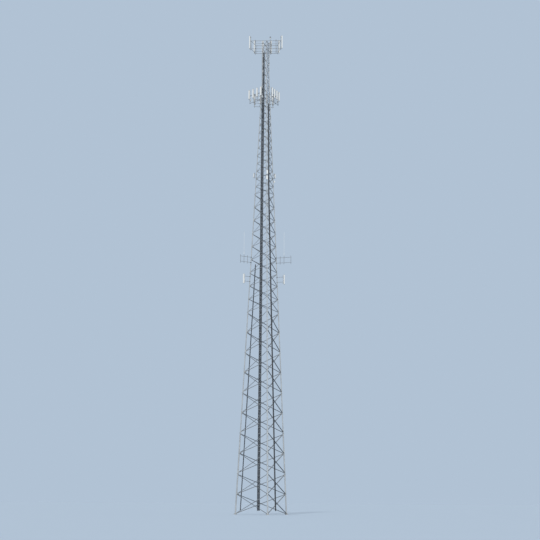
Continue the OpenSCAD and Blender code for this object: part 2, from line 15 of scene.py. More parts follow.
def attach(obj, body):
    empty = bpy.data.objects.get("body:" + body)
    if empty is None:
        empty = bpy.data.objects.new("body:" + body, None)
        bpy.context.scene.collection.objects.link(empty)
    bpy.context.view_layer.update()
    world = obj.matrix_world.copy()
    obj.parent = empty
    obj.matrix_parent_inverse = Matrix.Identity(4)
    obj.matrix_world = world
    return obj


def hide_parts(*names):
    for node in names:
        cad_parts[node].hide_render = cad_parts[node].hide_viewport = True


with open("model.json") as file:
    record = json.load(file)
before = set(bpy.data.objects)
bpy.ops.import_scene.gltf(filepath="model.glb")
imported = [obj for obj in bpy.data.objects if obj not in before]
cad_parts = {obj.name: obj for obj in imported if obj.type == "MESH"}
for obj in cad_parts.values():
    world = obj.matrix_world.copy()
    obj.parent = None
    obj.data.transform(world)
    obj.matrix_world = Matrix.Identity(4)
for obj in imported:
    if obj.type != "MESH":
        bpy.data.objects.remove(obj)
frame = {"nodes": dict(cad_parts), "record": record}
log = logging.getLogger("tower")
BODY = "root"
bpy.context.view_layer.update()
Triple = tuple[float, float, float]
Pair = tuple[float, float]
Tiers = tuple[tuple[int, float], ...]
Shape = bmesh.types.BMesh
Socket = bpy.types.NodeSocket
Outputs = bpy.types.NodeOutputs


def move(x: float, y: float, z: float) -> Matrix:
    """Returns the matrix that moves by x, y and z."""
    return Matrix.Translation((x, y, z))


def lift(z: float) -> Matrix:
    """Returns the matrix that moves up by z."""
    return move(0, 0, z)


def turn(degrees: float, axis: str) -> Matrix:
    """Returns the matrix that turns about the axis X, Y or Z."""
    return Matrix.Rotation(math.radians(degrees), 4, axis)


class Side(Enum):
    """The three faces of the tower, each named by the side it looks to."""

    RIGHT = 0
    BACK = 1
    LEFT = 2


class Leg(Enum):
    """The three legs of the tower."""

    FRONT = 0
    RIGHT = 1
    LEFT = 2


BACK_LEGS = (Leg.RIGHT, Leg.LEFT)


def in_tier(tiers: Tiers, section: int) -> float:
    """Returns a section's value from a table of the section that each tier ends before."""
    return next(value for end, value in tiers if section < end)


@dataclass(frozen=True)
class TowerPlan:
    """Driving sizes of the lattice in metres, and the places that follow from them."""

    base_face: float = 3.8862
    top_face: float = 0.5334
    section_h: float = 3.048
    sections: int = 12
    straight_from: int = 11
    leg_sizes: Tiers = ((2, 0.109), (5, 0.084), (8, 0.070), (11, 0.054), (12, 0.044))
    brace_sizes: Tiers = ((5, 0.045), (8, 0.034), (10, 0.028), (12, 0.024))
    bay_counts: Tiers = ((5, 2), (8, 3), (12, 5))
    bay_clear: float = 0.012
    flange_lip: float = 0.024
    flange_t: float = 0.012
    gusset_t: float = 0.006
    brace_t: float = 0.0035
    brace_end_gap: float = 0.008
    seat: float = 0.0003

    @property
    def height(self) -> float:
        """Height of the steel above the base."""
        return self.sections * self.section_h

    @property
    def taper_h(self) -> float:
        """Height at which the legs become upright."""
        return self.straight_from * self.section_h

    @property
    def taper(self) -> float:
        """Loss of face width for each metre of height."""
        return (self.base_face - self.top_face) / self.taper_h

    @property
    def axis_y(self) -> float:
        """Distance of the tower's axis behind the front leg's foot."""
        return self.base_face / math.sqrt(3)

    @property
    def plate_x(self) -> float:
        """Distance of a brace from the middle plane of its gussets."""
        return self.gusset_t / 2 + self.seat

    def face_w(self, z: float) -> float:
        """Returns the distance between leg centres at height z."""
        return max(self.top_face, self.base_face - self.taper * z)

    def leg_reach(self, z: float) -> float:
        """Returns the distance of a leg from the axis at height z."""
        return self.face_w(z) / math.sqrt(3)

    def face_reach(self, z: float) -> float:
        """Returns the distance of a face from the axis at height z."""
        return self.face_w(z) / (2 * math.sqrt(3))

    def leg_lean(self, section: int) -> float:
        """Returns the lean of the legs in a section, in degrees."""
        return math.degrees(math.atan(self.taper / math.sqrt(3))) if section < self.straight_from else 0.0

    def face_lean(self, section: int) -> float:
        """Returns the lean of the faces in a section, in degrees."""
        lean = math.atan(self.taper / (2 * math.sqrt(3)))
        return math.degrees(lean) if section < self.straight_from else 0.0

    def leg_od(self, section: int) -> float:
        """Returns the outer diameter of the leg pipes in a section."""
        return in_tier(self.leg_sizes, section)

    def section_at(self, z: float) -> int:
        """Returns the index of the section that holds height z."""
        return int(z / self.section_h)

    def brace_w(self, section: int) -> float:
        """Returns the width of the brace angles in a section."""
        return in_tier(self.brace_sizes, section)

    def bays(self, section: int) -> int:
        """Returns the number of bays in a section."""
        return int(in_tier(self.bay_counts, section))

    def bay_z(self, section: int, bay: int) -> float:
        """Finds the height of a bay's foot, clear of the flanges at section ends.

        Args:
            section: index of the tower section.
            bay: index of the bay in the section.

        Returns:
            The height above the base.
        """
        gap = self.flange_t + self.brace_w(section) + self.bay_clear
        if bay == 0:
            return section * self.section_h + gap
        if bay == self.bays(section):
            return (section + 1) * self.section_h - gap
        return (section + bay / self.bays(section)) * self.section_h

    def bay_rise(self, section: int, bay: int) -> float:
        """Returns the height of a bay measured up the face."""
        rise = self.bay_z(section, bay + 1) - self.bay_z(section, bay)
        return rise / math.cos(math.radians(self.face_lean(section)))

    def bay_span(self, section: int, bay: int) -> float:
        """Returns how far a brace of the bay runs along the face."""
        return (self.face_w(self.bay_z(section, bay)) + self.face_w(self.bay_z(section, bay + 1))) / 2

    def brace_start(self, section: int, angle: float) -> float:
        """Returns the distance of a brace's end from the leg's centre, by its slope in radians."""
        reach = self.leg_od(section) / 2 + self.brace_end_gap
        return reach / math.cos(angle) + self.brace_w(section) / 2 * math.tan(angle)

    def clip_point(self, section: int, bay: int, offset: float, rate: float) -> Pair:
        """Finds where a line up a face crosses a bay's outer brace.

        Args:
            section: index of the tower section.
            bay: index of the bay in the section.
            offset: place of the line along the face at the face's foot.
            rate: how far the line moves along the face for each metre up it.

        Returns:
            The crossing's place along and up the face.
        """
        low = self.bay_z(section, bay)
        up = low / math.cos(math.radians(self.face_lean(0)))
        half = self.face_w(low) / 2
        slope = self.bay_rise(section, bay) / self.bay_span(section, bay)
        along = (offset + rate * (up + slope * half)) / (1 + rate * slope)
        return along, up + slope * (half - along)

    def at_leg(self, leg: Leg, z: float, lean: float) -> Matrix:
        """Returns the frame on a leg's centre line at a height: x outwards, z along the leg."""
        around = move(0, self.axis_y, 0) @ turn(-90 + 120 * leg.value, "Z")
        return around @ move(self.leg_reach(z), 0, z) @ turn(-lean, "Y")

    def on_face(self, side: Side, z: float, lean: float) -> Matrix:
        """Returns the frame at a face's middle at a height: x outwards, y along, z up the face."""
        around = move(0, self.axis_y, 0) @ turn(-30 + 120 * side.value, "Z")
        return around @ move(self.face_reach(z), 0, z) @ turn(-lean, "Y")

    def towards(self, degrees: float, z: float) -> Matrix:
        """Returns a level frame on the tower's axis whose x points to a direction."""
        return move(0, self.axis_y, z) @ turn(degrees, "Z")

    def each_bay(self) -> Iterator[tuple[Side, int, int]]:
        """Goes through every braced bay.

        Returns:
            The side, section and bay index of each.
        """
        for side in Side:
            for section in range(self.sections):
                for bay in range(self.bays(section)):
                    yield side, section, bay


PLAN = TowerPlan()


class Nodes:
    """Small helper that adds and links shader nodes in one tree."""

    def __init__(self, tree: bpy.types.NodeTree) -> None:
        """Keeps the tree whose nodes are to be made."""
        self.tree = tree

    def add(self, kind: str, inputs: dict | None = None, **settings: object) -> bpy.types.Node:
        """Adds a node.

        Args:
            kind: the node's type name, without the ShaderNode prefix.
            inputs: values or sockets for the node's inputs, by name or index.
            settings: attributes to set on the node.

        Returns:
            The new node.
        """
        node = self.tree.nodes.new("ShaderNode" + kind)
        for key, value in settings.items():
            setattr(node, key, value)
        for key, value in (inputs or {}).items():
            if isinstance(value, Socket):
                self.tree.links.new(value, node.inputs[key])
            else:
                node.inputs[key].default_value = value
        return node

    def math(self, operation: str, a: object, b: object, clamp: bool = False) -> Socket:
        """Adds a math node on a and b, and returns its output socket."""
        return self.add("Math", {0: a, 1: b}, operation=operation, use_clamp=clamp).outputs[0]

    def scaled(self, a: object, factor: float, plus: object = 0.0, clamp: bool = False
               ) -> Socket:
        """Returns the socket of a times a factor, plus a value or socket."""
        settings = {"operation": "MULTIPLY_ADD", "use_clamp": clamp}
        return self.add("Math", {0: a, 1: factor, 2: plus}, **settings).outputs[0]

    def grain(self, scale: object, detail: float, roughness: float = 0.5) -> Socket:
        """Adds a noise on the piece's own coordinates.

        Args:
            scale: number or socket for the noise's scale.
            detail: number of finer layers.
            roughness: strength of the finer layers.

        Returns:
            The noise's socket.
        """
        place = self.add("TexCoord").outputs["Object"]
        return self.add("TexNoise", {"Vector": place, "Scale": scale, "Detail": detail,
                                     "Roughness": roughness}).outputs[0]

    def band(self, value: object, low: float, high: float) -> Socket:
        """Maps a value to 0..1 with a smooth step.

        Args:
            value: socket of the value.
            low: value that becomes 0.
            high: value that becomes 1.

        Returns:
            The result's socket.
        """
        node = self.add("MapRange", {"Value": value, "From Min": low, "From Max": high},
                        interpolation_type="SMOOTHSTEP")
        return node.outputs["Result"]

    def blend(self, factor: object, a: object, b: object) -> Socket:
        """Mixes two colours.

        Args:
            factor: number or socket for the second colour's share.
            a: first colour or its socket.
            b: second colour or its socket.

        Returns:
            The mixed colour's socket.
        """
        node = self.add("Mix", data_type="RGBA")
        for socket, value in zip((node.inputs[0], node.inputs[6], node.inputs[7]), (factor, a, b)):
            if isinstance(value, Socket):
                self.tree.links.new(value, socket)
            else:
                socket.default_value = value
        return node.outputs[2]


def opaque(colour: Triple) -> tuple[float, float, float, float]:
    """Returns a colour with full alpha."""
    return (*colour, 1.0)


class EffectGroup:
    """Base of the shader node groups that several finishes share."""

    label = "effect"
    inputs: Sequence[tuple[str, float]] = ()
    outputs: Sequence[str] = ()

    @classmethod
    def tree(cls) -> bpy.types.NodeTree:
        """Builds the group's node tree on first use.

        Returns:
            The tree.
        """
        known = bpy.data.node_groups.get(cls.label)
        if known:
            return known
        tree = bpy.data.node_groups.new(cls.label, "ShaderNodeTree")
        for name, value in cls.inputs:
            socket = tree.interface.new_socket(name, in_out="INPUT", socket_type="NodeSocketFloat")
            socket.default_value = value
        for name in cls.outputs:
            tree.interface.new_socket(name, in_out="OUTPUT", socket_type="NodeSocketFloat")
        source = tree.nodes.new("NodeGroupInput")
        sink = tree.nodes.new("NodeGroupOutput")
        for name, socket in cls.build(Nodes(tree), source.outputs).items():
            tree.links.new(socket, sink.inputs[name])
        return tree

    @classmethod
    def build(cls, nodes: Nodes, given: Outputs) -> dict[str, Socket]:
        """Builds the nodes between the group's inputs and outputs."""
        raise NotImplementedError

    @classmethod
    def place(cls, nodes: Nodes, **values: float) -> Outputs:
        """Places the group in a material.

        Args:
            nodes: helper for the material's tree.
            values: values of the group's inputs, by name.

        Returns:
            The group node's outputs.
        """
        node = nodes.tree.nodes.new("ShaderNodeGroup")
        node.node_tree = cls.tree()
        for name, value in values.items():
            node.inputs[name].default_value = value
        return node.outputs


class Spangle(EffectGroup):
    """Crystal pattern of a zinc coating, with fine grain."""

    label = "zinc spangle"
    inputs = (("Size", 0.008), ("Grain", 0.0012))
    outputs = ("Shade", "Height")

    @classmethod
    def build(cls, nodes: Nodes, given: Outputs) -> dict[str, Socket]:
        """Builds crystals from cells and grain from noise.

        Args:
            nodes: helper for the group's tree.
            given: the group's input sockets.

        Returns:
            The socket for each named output.
        """
        place = nodes.add("TexCoord").outputs["Object"]
        size = nodes.math("DIVIDE", 1.0, given["Size"])
        cells = nodes.add("TexVoronoi", {"Vector": place, "Scale": size})
        tone = nodes.add("SeparateColor", {0: cells.outputs["Color"]}).outputs[0]
        grain = nodes.grain(nodes.math("DIVIDE", 1.0, given["Grain"]), 4.0, 0.6)
        shade = nodes.scaled(tone, 0.7, nodes.scaled(grain, 0.3))
        return {"Shade": shade, "Height": nodes.scaled(tone, 0.25, grain)}


class Weather(EffectGroup):
    """Run-off streaks down a surface, broad dull patches, and a painted-shade mask that darkens
    downward-facing faces.
    """

    label = "weather"
    inputs = (("Streak Width", 0.012), ("Streak Length", 0.5), ("Patch Size", 0.35))
    outputs = ("Streaks", "Patches", "Underside")

    @classmethod
    def build(cls, nodes: Nodes, given: Outputs) -> dict[str, Socket]:
        """Builds streaks from stretched noise, patches from soft noise, and painted shade from how far a
        face looks down.

        Args:
            nodes: helper for the group's tree.
            given: the group's input sockets.

        Returns:
            The socket for each named output.
        """
        place = nodes.add("TexCoord").outputs["Object"]
        across = nodes.math("DIVIDE", 1.0, given["Streak Width"])
        along = nodes.math("DIVIDE", 1.0, given["Streak Length"])
        stretch = nodes.add("CombineXYZ", {0: across, 1: across, 2: along}).outputs[0]
        drawn = nodes.add("VectorMath", {0: place, 1: stretch}, operation="MULTIPLY").outputs[0]
        lines = nodes.add("TexNoise", {"Vector": drawn, "Scale": 1.0, "Detail": 3.0, "Roughness": 0.55})
        patches = nodes.grain(nodes.math("DIVIDE", 1.0, given["Patch Size"]), 5.0, 0.6)
        facing = nodes.add("SeparateXYZ", {0: nodes.add("NewGeometry").outputs["Normal"]}).outputs[2]
        return {
            "Streaks": nodes.band(lines.outputs[0], 0.50, 0.72),
            "Patches": nodes.band(patches, 0.38, 0.68),
            # Painted shade: faces that look down get a mask that darkens them.
            "Underside": nodes.band(nodes.scaled(facing, -1.0), 0.2, 0.9),
        }


@dataclass(frozen=True)
class Finish:
    """A named surface finish and the material that shows it."""

    name: str
    colour: Triple
    roughness: float = 0.5
    metallic: float = 0.0
    relief: float = 0.0003

    def material(self) -> bpy.types.Material:
        """Builds the finish's material on first use.

        Returns:
            The material.
        """
        known = bpy.data.materials.get(self.name)
        if known:
            return known
        material = bpy.data.materials.new(self.name)
        material.use_nodes = True
        material.diffuse_color = opaque(self.colour)
        shader = material.node_tree.nodes["Principled BSDF"]
        shader.inputs["Metallic"].default_value = self.metallic
        self.paint(Nodes(material.node_tree), shader)
        return material

    def paint(self, nodes: Nodes, shader: bpy.types.Node) -> None:
        """Builds the finish's colour, roughness and relief."""
        raise NotImplementedError

    def connect(self, nodes: Nodes, shader: bpy.types.Node, colour: Socket,
                rough: Socket, height: Socket) -> None:
        """Feeds colour, roughness and a bump to the surface shader.

        Args:
            nodes: helper for the material's tree.
            shader: the material's surface shader.
            colour: socket for the base colour.
            rough: socket for the roughness.
            height: socket for the height of the relief.
        """
        bump = nodes.add("Bump", {"Height": height, "Distance": self.relief, "Strength": 0.6})
        nodes.tree.links.new(colour, shader.inputs["Base Color"])
        nodes.tree.links.new(rough, shader.inputs["Roughness"])
        nodes.tree.links.new(bump.outputs[0], shader.inputs["Normal"])


@dataclass(frozen=True)
class Galvanised(Finish):
    """Hot-dip zinc that has dulled outdoors, with spangle, run-off and white bloom."""

    dark: Triple = (0.2, 0.21, 0.22)
    bloom: Triple = (0.62, 0.63, 0.62)
    stain: Triple = (0.33, 0.27, 0.2)
    stain_amount: float = 0.25
    bloom_amount: float = 0.55
    spangle: float = 0.008
    spangle_rough: float = 0.18
    bloom_rough: float = 0.12
    relief: float = 0.0006

    def paint(self, nodes: Nodes, shader: bpy.types.Node) -> None:
        """Builds the zinc.

        Args:
            nodes: helper for the material's tree.
            shader: the material's surface shader.
        """
        zinc = Spangle.place(nodes, Size=self.spangle, Grain=self.spangle * 0.15)
        weather = Weather.place(nodes)
        tone = nodes.blend(nodes.band(zinc["Shade"], 0.1, 0.9), opaque(self.dark), opaque(self.colour))
        tone = nodes.blend(nodes.scaled(weather["Patches"], self.bloom_amount), tone, opaque(self.bloom))
        tone = nodes.blend(nodes.scaled(weather["Streaks"], self.stain_amount), tone, opaque(self.stain))
        rough = nodes.scaled(zinc["Shade"], self.spangle_rough, self.roughness)
        rough = nodes.scaled(weather["Patches"], self.bloom_rough, rough, clamp=True)
        self.connect(nodes, shader, tone, rough, zinc["Height"])


@dataclass(frozen=True)
class Radome(Finish):
    """Off-white fibreglass cover with a chalky skin, grey run-off, and painted shade on its
    downward-facing faces.
    """

    grime_and_shade: Triple = (0.42, 0.42, 0.38)
    streaks: float = 0.22
    underside: float = 0.35
    chalk: float = 0.3
    chalk_rough: float = 0.15
    grain: float = 900.0

    def paint(self, nodes: Nodes, shader: bpy.types.Node) -> None:
        """Builds the cover's skin.

        Args:
            nodes: helper for the material's tree.
            shader: the material's surface shader.
        """
        sizes = {"Streak Width": 0.02, "Streak Length": 0.35, "Patch Size": 0.25}
        weather = Weather.place(nodes, **sizes)
        dull = opaque(tuple(c * 0.9 for c in self.colour))
        tone = nodes.blend(nodes.scaled(weather["Patches"], self.chalk), opaque(self.colour), dull)
        streaks = nodes.scaled(weather["Streaks"], self.streaks)
        # Painted shade: downward-facing faces are mixed towards the same grey as the run-off streaks.
        grime_and_shade = nodes.scaled(weather["Underside"], self.underside, streaks, clamp=True)
        tone = nodes.blend(grime_and_shade, tone, opaque(self.grime_and_shade))
        rough = nodes.scaled(weather["Patches"], self.chalk_rough, self.roughness)
        self.connect(nodes, shader, tone, rough, nodes.grain(self.grain, 3.0))


@dataclass(frozen=True)
class Jacket(Finish):
    """Black cable jacket, greyed in streaks and patches by sun and dust."""

    dust: Triple = (0.055, 0.056, 0.06)
    streaks: float = 0.5
    patches: float = 0.4
    faded_rough: float = 0.2
    grain: float = 500.0

    def paint(self, nodes: Nodes, shader: bpy.types.Node) -> None:
        """Builds the jacket's skin.

        Args:
            nodes: helper for the material's tree.
            shader: the material's surface shader.
        """
        weather = Weather.place(nodes, **{"Streak Width": 0.008, "Streak Length": 0.9, "Patch Size": 0.8})
        streaks = nodes.scaled(weather["Streaks"], self.streaks)
        faded = nodes.scaled(weather["Patches"], self.patches, streaks, clamp=True)
        tone = nodes.blend(faded, opaque(self.colour), opaque(self.dust))
        rough = nodes.scaled(faded, self.faded_rough, self.roughness)
        self.connect(nodes, shader, tone, rough, nodes.grain(self.grain, 4.0))


@dataclass(frozen=True)
class Coated(Finish):
    """Powder coat or moulded plastic with an orange-peel skin, light run-off streaks, and painted shade
    on its downward-facing faces.
    """

    dirt_and_shade: Triple = (0.2, 0.19, 0.17)
    peel: float = 0.004
    streaks: float = 0.3
    underside: float = 0.2
    worn_rough: float = 0.12
    relief: float = 0.0004

    def paint(self, nodes: Nodes, shader: bpy.types.Node) -> None:
        """Builds the coat.

        Args:
            nodes: helper for the material's tree.
            shader: the material's surface shader.
        """
        weather = Weather.place(nodes, **{"Streak Width": 0.01, "Streak Length": 0.2, "Patch Size": 0.1})
        streaks = nodes.scaled(weather["Streaks"], self.streaks)
        # Painted shade: downward-facing faces are darkened with the same colour as the run-off streaks.
        dirt_and_shade = nodes.scaled(weather["Underside"], self.underside, streaks, clamp=True)
        tone = nodes.blend(dirt_and_shade, opaque(self.colour), opaque(self.dirt_and_shade))
        rough = nodes.scaled(weather["Patches"], self.worn_rough, self.roughness)
        self.connect(nodes, shader, tone, rough, nodes.grain(1.0 / self.peel, 2.0))


@dataclass(frozen=True)
class Plain(Finish):
    """One even, dull colour."""

    gloss: float = 0.1

    def paint(self, nodes: Nodes, shader: bpy.types.Node) -> None:
        """Sets the colour, roughness and gloss.

        Args:
            nodes: helper for the material's tree.
            shader: the material's surface shader.
        """
        shader.inputs["Base Color"].default_value = opaque(self.colour)
        shader.inputs["Roughness"].default_value = self.roughness
        shader.inputs["Specular IOR Level"].default_value = self.gloss


LEG_ZINC = Galvanised("leg zinc", (0.58, 0.59, 0.58), 0.42, 0.55, dark=(0.36, 0.37, 0.375),
                      stain_amount=0.22)
# Painted shade: the braces are the same zinc as the legs, coloured darker to stand for the shade they sit
# in.
SHADED_BRACE_ZINC = Galvanised("shaded brace zinc", (0.23, 0.245, 0.26), 0.5, 0.4, dark=(0.14, 0.15, 0.16),
                        bloom=(0.29, 0.30, 0.305), stain_amount=0.25)
LADDER_ZINC = Galvanised("ladder zinc", (0.38, 0.39, 0.40), 0.46, 0.5, dark=(0.24, 0.25, 0.26),
                         bloom=(0.45, 0.46, 0.46), spangle=0.006)
# Painted shade: the mount rails, pipes and their fittings are the same zinc as the legs, coloured darker
# to stand for the shade they sit in.
SHADED_MOUNT_ZINC = Galvanised("shaded mount zinc", (0.29, 0.30, 0.31), 0.44, 0.45, dark=(0.18, 0.19, 0.2),
                        bloom=(0.37, 0.38, 0.38), spangle=0.006, stain_amount=0.15)
BOLT_ZINC = Galvanised("bolt zinc", (0.52, 0.52, 0.5), 0.45, 0.7, dark=(0.3, 0.3, 0.3),
                       bloom=(0.6, 0.6, 0.58), spangle=0.003, stain_amount=0.35)
STAINLESS = Galvanised("stainless", (0.62, 0.61, 0.58), 0.3, 0.9, dark=(0.42, 0.42, 0.41),
                       bloom=(0.6, 0.6, 0.58), spangle=0.004, stain_amount=0.12)
RADOME = Radome("radome", (0.80, 0.80, 0.77), 0.42)
JACKET = Jacket("feedline jacket", (0.015, 0.015, 0.017), 0.5)
RADIO_GREY = Coated("radio coat", (0.60, 0.61, 0.60), 0.4)
BEACON_CLEAR = Coated("beacon lens", (0.78, 0.80, 0.80), 0.1, peel=0.02)
BEACON_DARK = Coated("beacon cap", (0.05, 0.05, 0.055), 0.4)
BLACK_CAP = Coated("black fitting", (0.03, 0.03, 0.032), 0.45)
CAP_GREY = Coated("cap grey", (0.46, 0.47, 0.46), 0.45, streaks=0.1)
FLOOR = Plain("floor", (0.406, 0.490, 0.581), 0.9)


def add_object(name: str, data: bpy.types.ID) -> bpy.types.Object:
    """Adds an object to the scene.

    Args:
        name: name of the object.
        data: its mesh, camera or lamp.

    Returns:
        The new object.
    """
    added = bpy.data.objects.new(name, data)
    bpy.context.scene.collection.objects.link(added)
    return added


@dataclass(frozen=True)
class Lamp:
    """A distant lamp. Its softness, way round and height are in degrees."""

    name: str
    energy: float
    softness: float
    azimuth: float
    height: float
    far: float = 60.0

    def build(self) -> None:
        """Adds the lamp, turned towards the tower."""
        data = bpy.data.lights.new(self.name, "SUN")
        data.energy = self.energy
        data.angle = math.radians(self.softness)
        around = turn(self.azimuth, "Z") @ turn(90 - self.height, "X")
        add_object(self.name, data).matrix_world = around @ lift(self.far)


@dataclass(frozen=True)
class Stage:
    """Camera, lamps, floor and backdrop around the tower."""

    azimuth: float = -8.467
    aim_off: float = -0.204
    pitch: float = 8.761
    roll: float = 0.352
    distance: float = 113.03
    eye: float = 1.0375
    focal_px: float = 1497.3
    frame_px: float = 540.0
    sensor: float = 36.0
    sight: float = 2000.0
    key: Lamp = Lamp("key", 2.2, 4.0, -18.0, 42.0)
    fill: Lamp = Lamp("fill", 0.6, 30.0, 84.0, 30.0)
    backdrop: Triple = (0.44, 0.54, 0.66)
    light: Triple = (0.52, 0.54, 0.57)
    floor_r: float = 600.0
    floor_drop: float = 0.002

    def camera(self) -> None:
        """Places the camera at the photograph's viewpoint."""
        data = bpy.data.cameras.new("camera")
        data.sensor_width = self.sensor
        data.lens = self.focal_px / self.frame_px * self.sensor
        data.clip_end = self.sight
        camera = add_object("camera", data)
        stand = PLAN.towards(self.azimuth, self.eye) @ move(0, -self.distance, 0)
        view = turn(self.aim_off, "Z") @ turn(90 + self.pitch, "X") @ turn(self.roll, "Z")
        camera.matrix_world = stand @ view
        bpy.context.scene.camera = camera

    def world(self) -> None:
        """Makes a pale sky that the camera and reflections see, and softer light for the rest."""
        world = bpy.data.worlds.new("studio")
        world.use_nodes = True
        bpy.context.scene.world = world
        nodes = Nodes(world.node_tree)
        path = nodes.add("LightPath").outputs
        seen = nodes.math("MAXIMUM", path["Is Camera Ray"], path["Is Glossy Ray"])
        seen = nodes.math("MAXIMUM", seen, path["Is Transmission Ray"])
        light = world.node_tree.nodes["Background"]
        light.inputs["Color"].default_value = opaque(self.light)
        pale = nodes.add("Background", {"Color": opaque(self.backdrop), "Strength": 1.0})
        mix = nodes.add("MixShader", {0: seen, 1: light.outputs[0], 2: pale.outputs[0]})
        world.node_tree.links.new(mix.outputs[0], world.node_tree.nodes["World Output"].inputs[0])

    def floor(self) -> None:
        """Lays a wide pale floor at the level of the base plates."""
        shape = bmesh.new()
        bmesh.ops.create_circle(shape, cap_ends=True, segments=96, radius=self.floor_r,
                                matrix=move(0, PLAN.axis_y, -self.floor_drop))
        mesh = bpy.data.meshes.new("floor")
        shape.to_mesh(mesh)
        shape.free()
        mesh.materials.append(FLOOR.material())
        add_object("floor", mesh)

    def build(self) -> None:
        """Builds the whole stage, with a key lamp before the tower and a weak one on its right."""
        bpy.context.scene.view_settings.view_transform = "Standard"
        self.camera()
        self.key.build()
        self.fill.build()
        self.world()
        self.floor()


def sharpen(shape: Shape, degrees: float = 35.0) -> None:
    """Shades faces smooth and keeps edges sharper than an angle hard.

    Args:
        shape: the mesh to shade.
        degrees: angle above which an edge stays hard.
    """
    limit = math.radians(degrees)
    for face in shape.faces:
        face.smooth = True
    for edge in shape.edges:
        edge.smooth = edge.calc_face_angle(math.pi) < limit


class Stamp:
    """A small closed shape that is copied to many places of a larger mesh."""

    def __init__(self, shape: Shape) -> None:
        """Keeps a shape as a mesh.

        Args:
            shape: the small shape, which is freed.
        """
        sharpen(shape)
        self.mesh = bpy.data.meshes.new("stamp")
        shape.to_mesh(self.mesh)
        shape.free()

    def put(self, target: Shape, place: Matrix) -> None:
        """Adds a copy of the shape to a mesh.

        Args:
            target: the mesh to add to.
            place: frame of the copy.
        """
        copy = self.mesh.copy()
        copy.transform(place)
        target.from_mesh(copy)
        bpy.data.meshes.remove(copy)

    def discard(self) -> None:
        """Removes the kept shape."""
        bpy.data.meshes.remove(self.mesh)

    def put_once(self, target: Shape, place: Matrix) -> None:
        """Adds the shape to a mesh at a place, and removes it."""
        self.put(target, place)
        self.discard()


def add_prism(shape: Shape, radius: float, length: float, sides: int,
              place: Matrix = Matrix.Identity(4), top: float | None = None) -> None:
    """Adds a closed prism or cone that stands on z = 0 of a frame.

    Args:
        shape: the mesh to add to.
        radius: radius at the foot.
        length: height of the prism.
        sides: number of sides.
        place: frame of the foot.
        top: radius at the top, the same as the foot's if it is left out.
    """
    bmesh.ops.create_cone(shape, cap_ends=True, segments=sides, radius1=radius,
                          radius2=radius if top is None else top, depth=length,
                          matrix=place @ lift(length / 2))


def add_block(shape: Shape, size: Sequence[float], place: Matrix) -> None:
    """Adds a block of a size along x, y and z, centred in a frame."""
    bmesh.ops.create_cube(shape, size=1.0, matrix=place @ Matrix.Diagonal((*size, 1.0)))


def add_rounded(shape: Shape, size: Sequence[float], place: Matrix, radius: float,
                segments: int) -> None:
    """Adds a block with rounded edges, centred in a frame.

    Args:
        shape: the mesh to add to.
        size: lengths along the frame's x, y and z.
        place: frame of the block's centre.
        radius: radius of the edges.
        segments: number of steps in each rounding.
    """
    block = bmesh.new()
    add_block(block, size, Matrix.Identity(4))
    bmesh.ops.bevel(block, geom=block.edges[:], offset=radius, offset_type="OFFSET", affect="EDGES",
                    segments=segments, profile=0.5, material=-1)
    Stamp(block).put_once(shape, place)


def turned_shape(profile: Sequence[Pair], steps: int, closed: bool = False
                 ) -> Shape:
    """Makes a shape turned about the z axis.

    Args:
        profile: points of radius and height, from foot to top.
        steps: number of steps in the turn.
        closed: whether the profile is a loop clear of the axis.

    Returns:
        The new shape.
    """
    turned = bmesh.new()
    verts = [turned.verts.new((r, 0, z)) for r, z in profile]
    pairs = list(zip(verts, verts[1:])) + ([(verts[-1], verts[0])] if closed else [])
    edges = [turned.edges.new(pair) for pair in pairs]
    bmesh.ops.spin(turned, geom=[*verts, *edges], cent=(0, 0, 0), axis=(0, 0, 1),
                   angle=2 * math.pi, steps=steps, use_merge=True, use_duplicate=False)
    bmesh.ops.remove_doubles(turned, verts=turned.verts, dist=1e-6)
    bmesh.ops.recalc_face_normals(turned, faces=turned.faces)
    return turned


def add_turned(shape: Shape, profile: Sequence[Pair], place: Matrix,
               steps: int = 24, closed: bool = False) -> None:
    """Adds a shape turned about the z axis of a frame, as turned_shape makes it."""
    Stamp(turned_shape(profile, steps, closed)).put_once(shape, place)


def add_band(shape: Shape, inner: float, outer: float, half: float, place: Matrix) -> None:
    """Adds a ring of two radii and half its height, centred in a frame, round its z axis."""
    add_turned(shape, [(inner, -half), (outer, -half), (outer, half), (inner, half)], place, closed=True)


def spread(count: int, width: float) -> Iterator[float]:
    """Yields evenly spaced places across a width, from end to end about its middle."""
    for k in range(count):
        yield (k - (count - 1) / 2) * width / max(1, count - 1)


def finish_piece(name: str, shape: Shape, finish: Finish,
                 replaced: Sequence[str] = ()) -> None:
    """Turns a mesh into a piece of the tower.

    Args:
        name: name of the piece.
        shape: its mesh, which is freed.
        finish: its surface finish.
        replaced: CAD nodes that the piece stands for.
    """
    mesh = bpy.data.meshes.new(name)
    shape.to_mesh(mesh)
    shape.free()
    mesh.materials.append(finish.material())
    piece = add_object(name, mesh)
    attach(piece, BODY)
    if replaced:
        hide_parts(*replaced)
    log.info("%s: %d faces", name, len(mesh.polygons))


def stamp_piece(name: str, stamp: Stamp, places: Iterable[Matrix], finish: Finish) -> None:
    """Builds a piece from copies of one small shape, which is removed.

    Args:
        name: name of the piece.
        stamp: the small shape.
        places: frame of each copy.
        finish: the piece's surface finish.
    """
    shape = bmesh.new()
    for place in places:
        stamp.put(shape, place)
    stamp.discard()
    finish_piece(name, shape, finish)


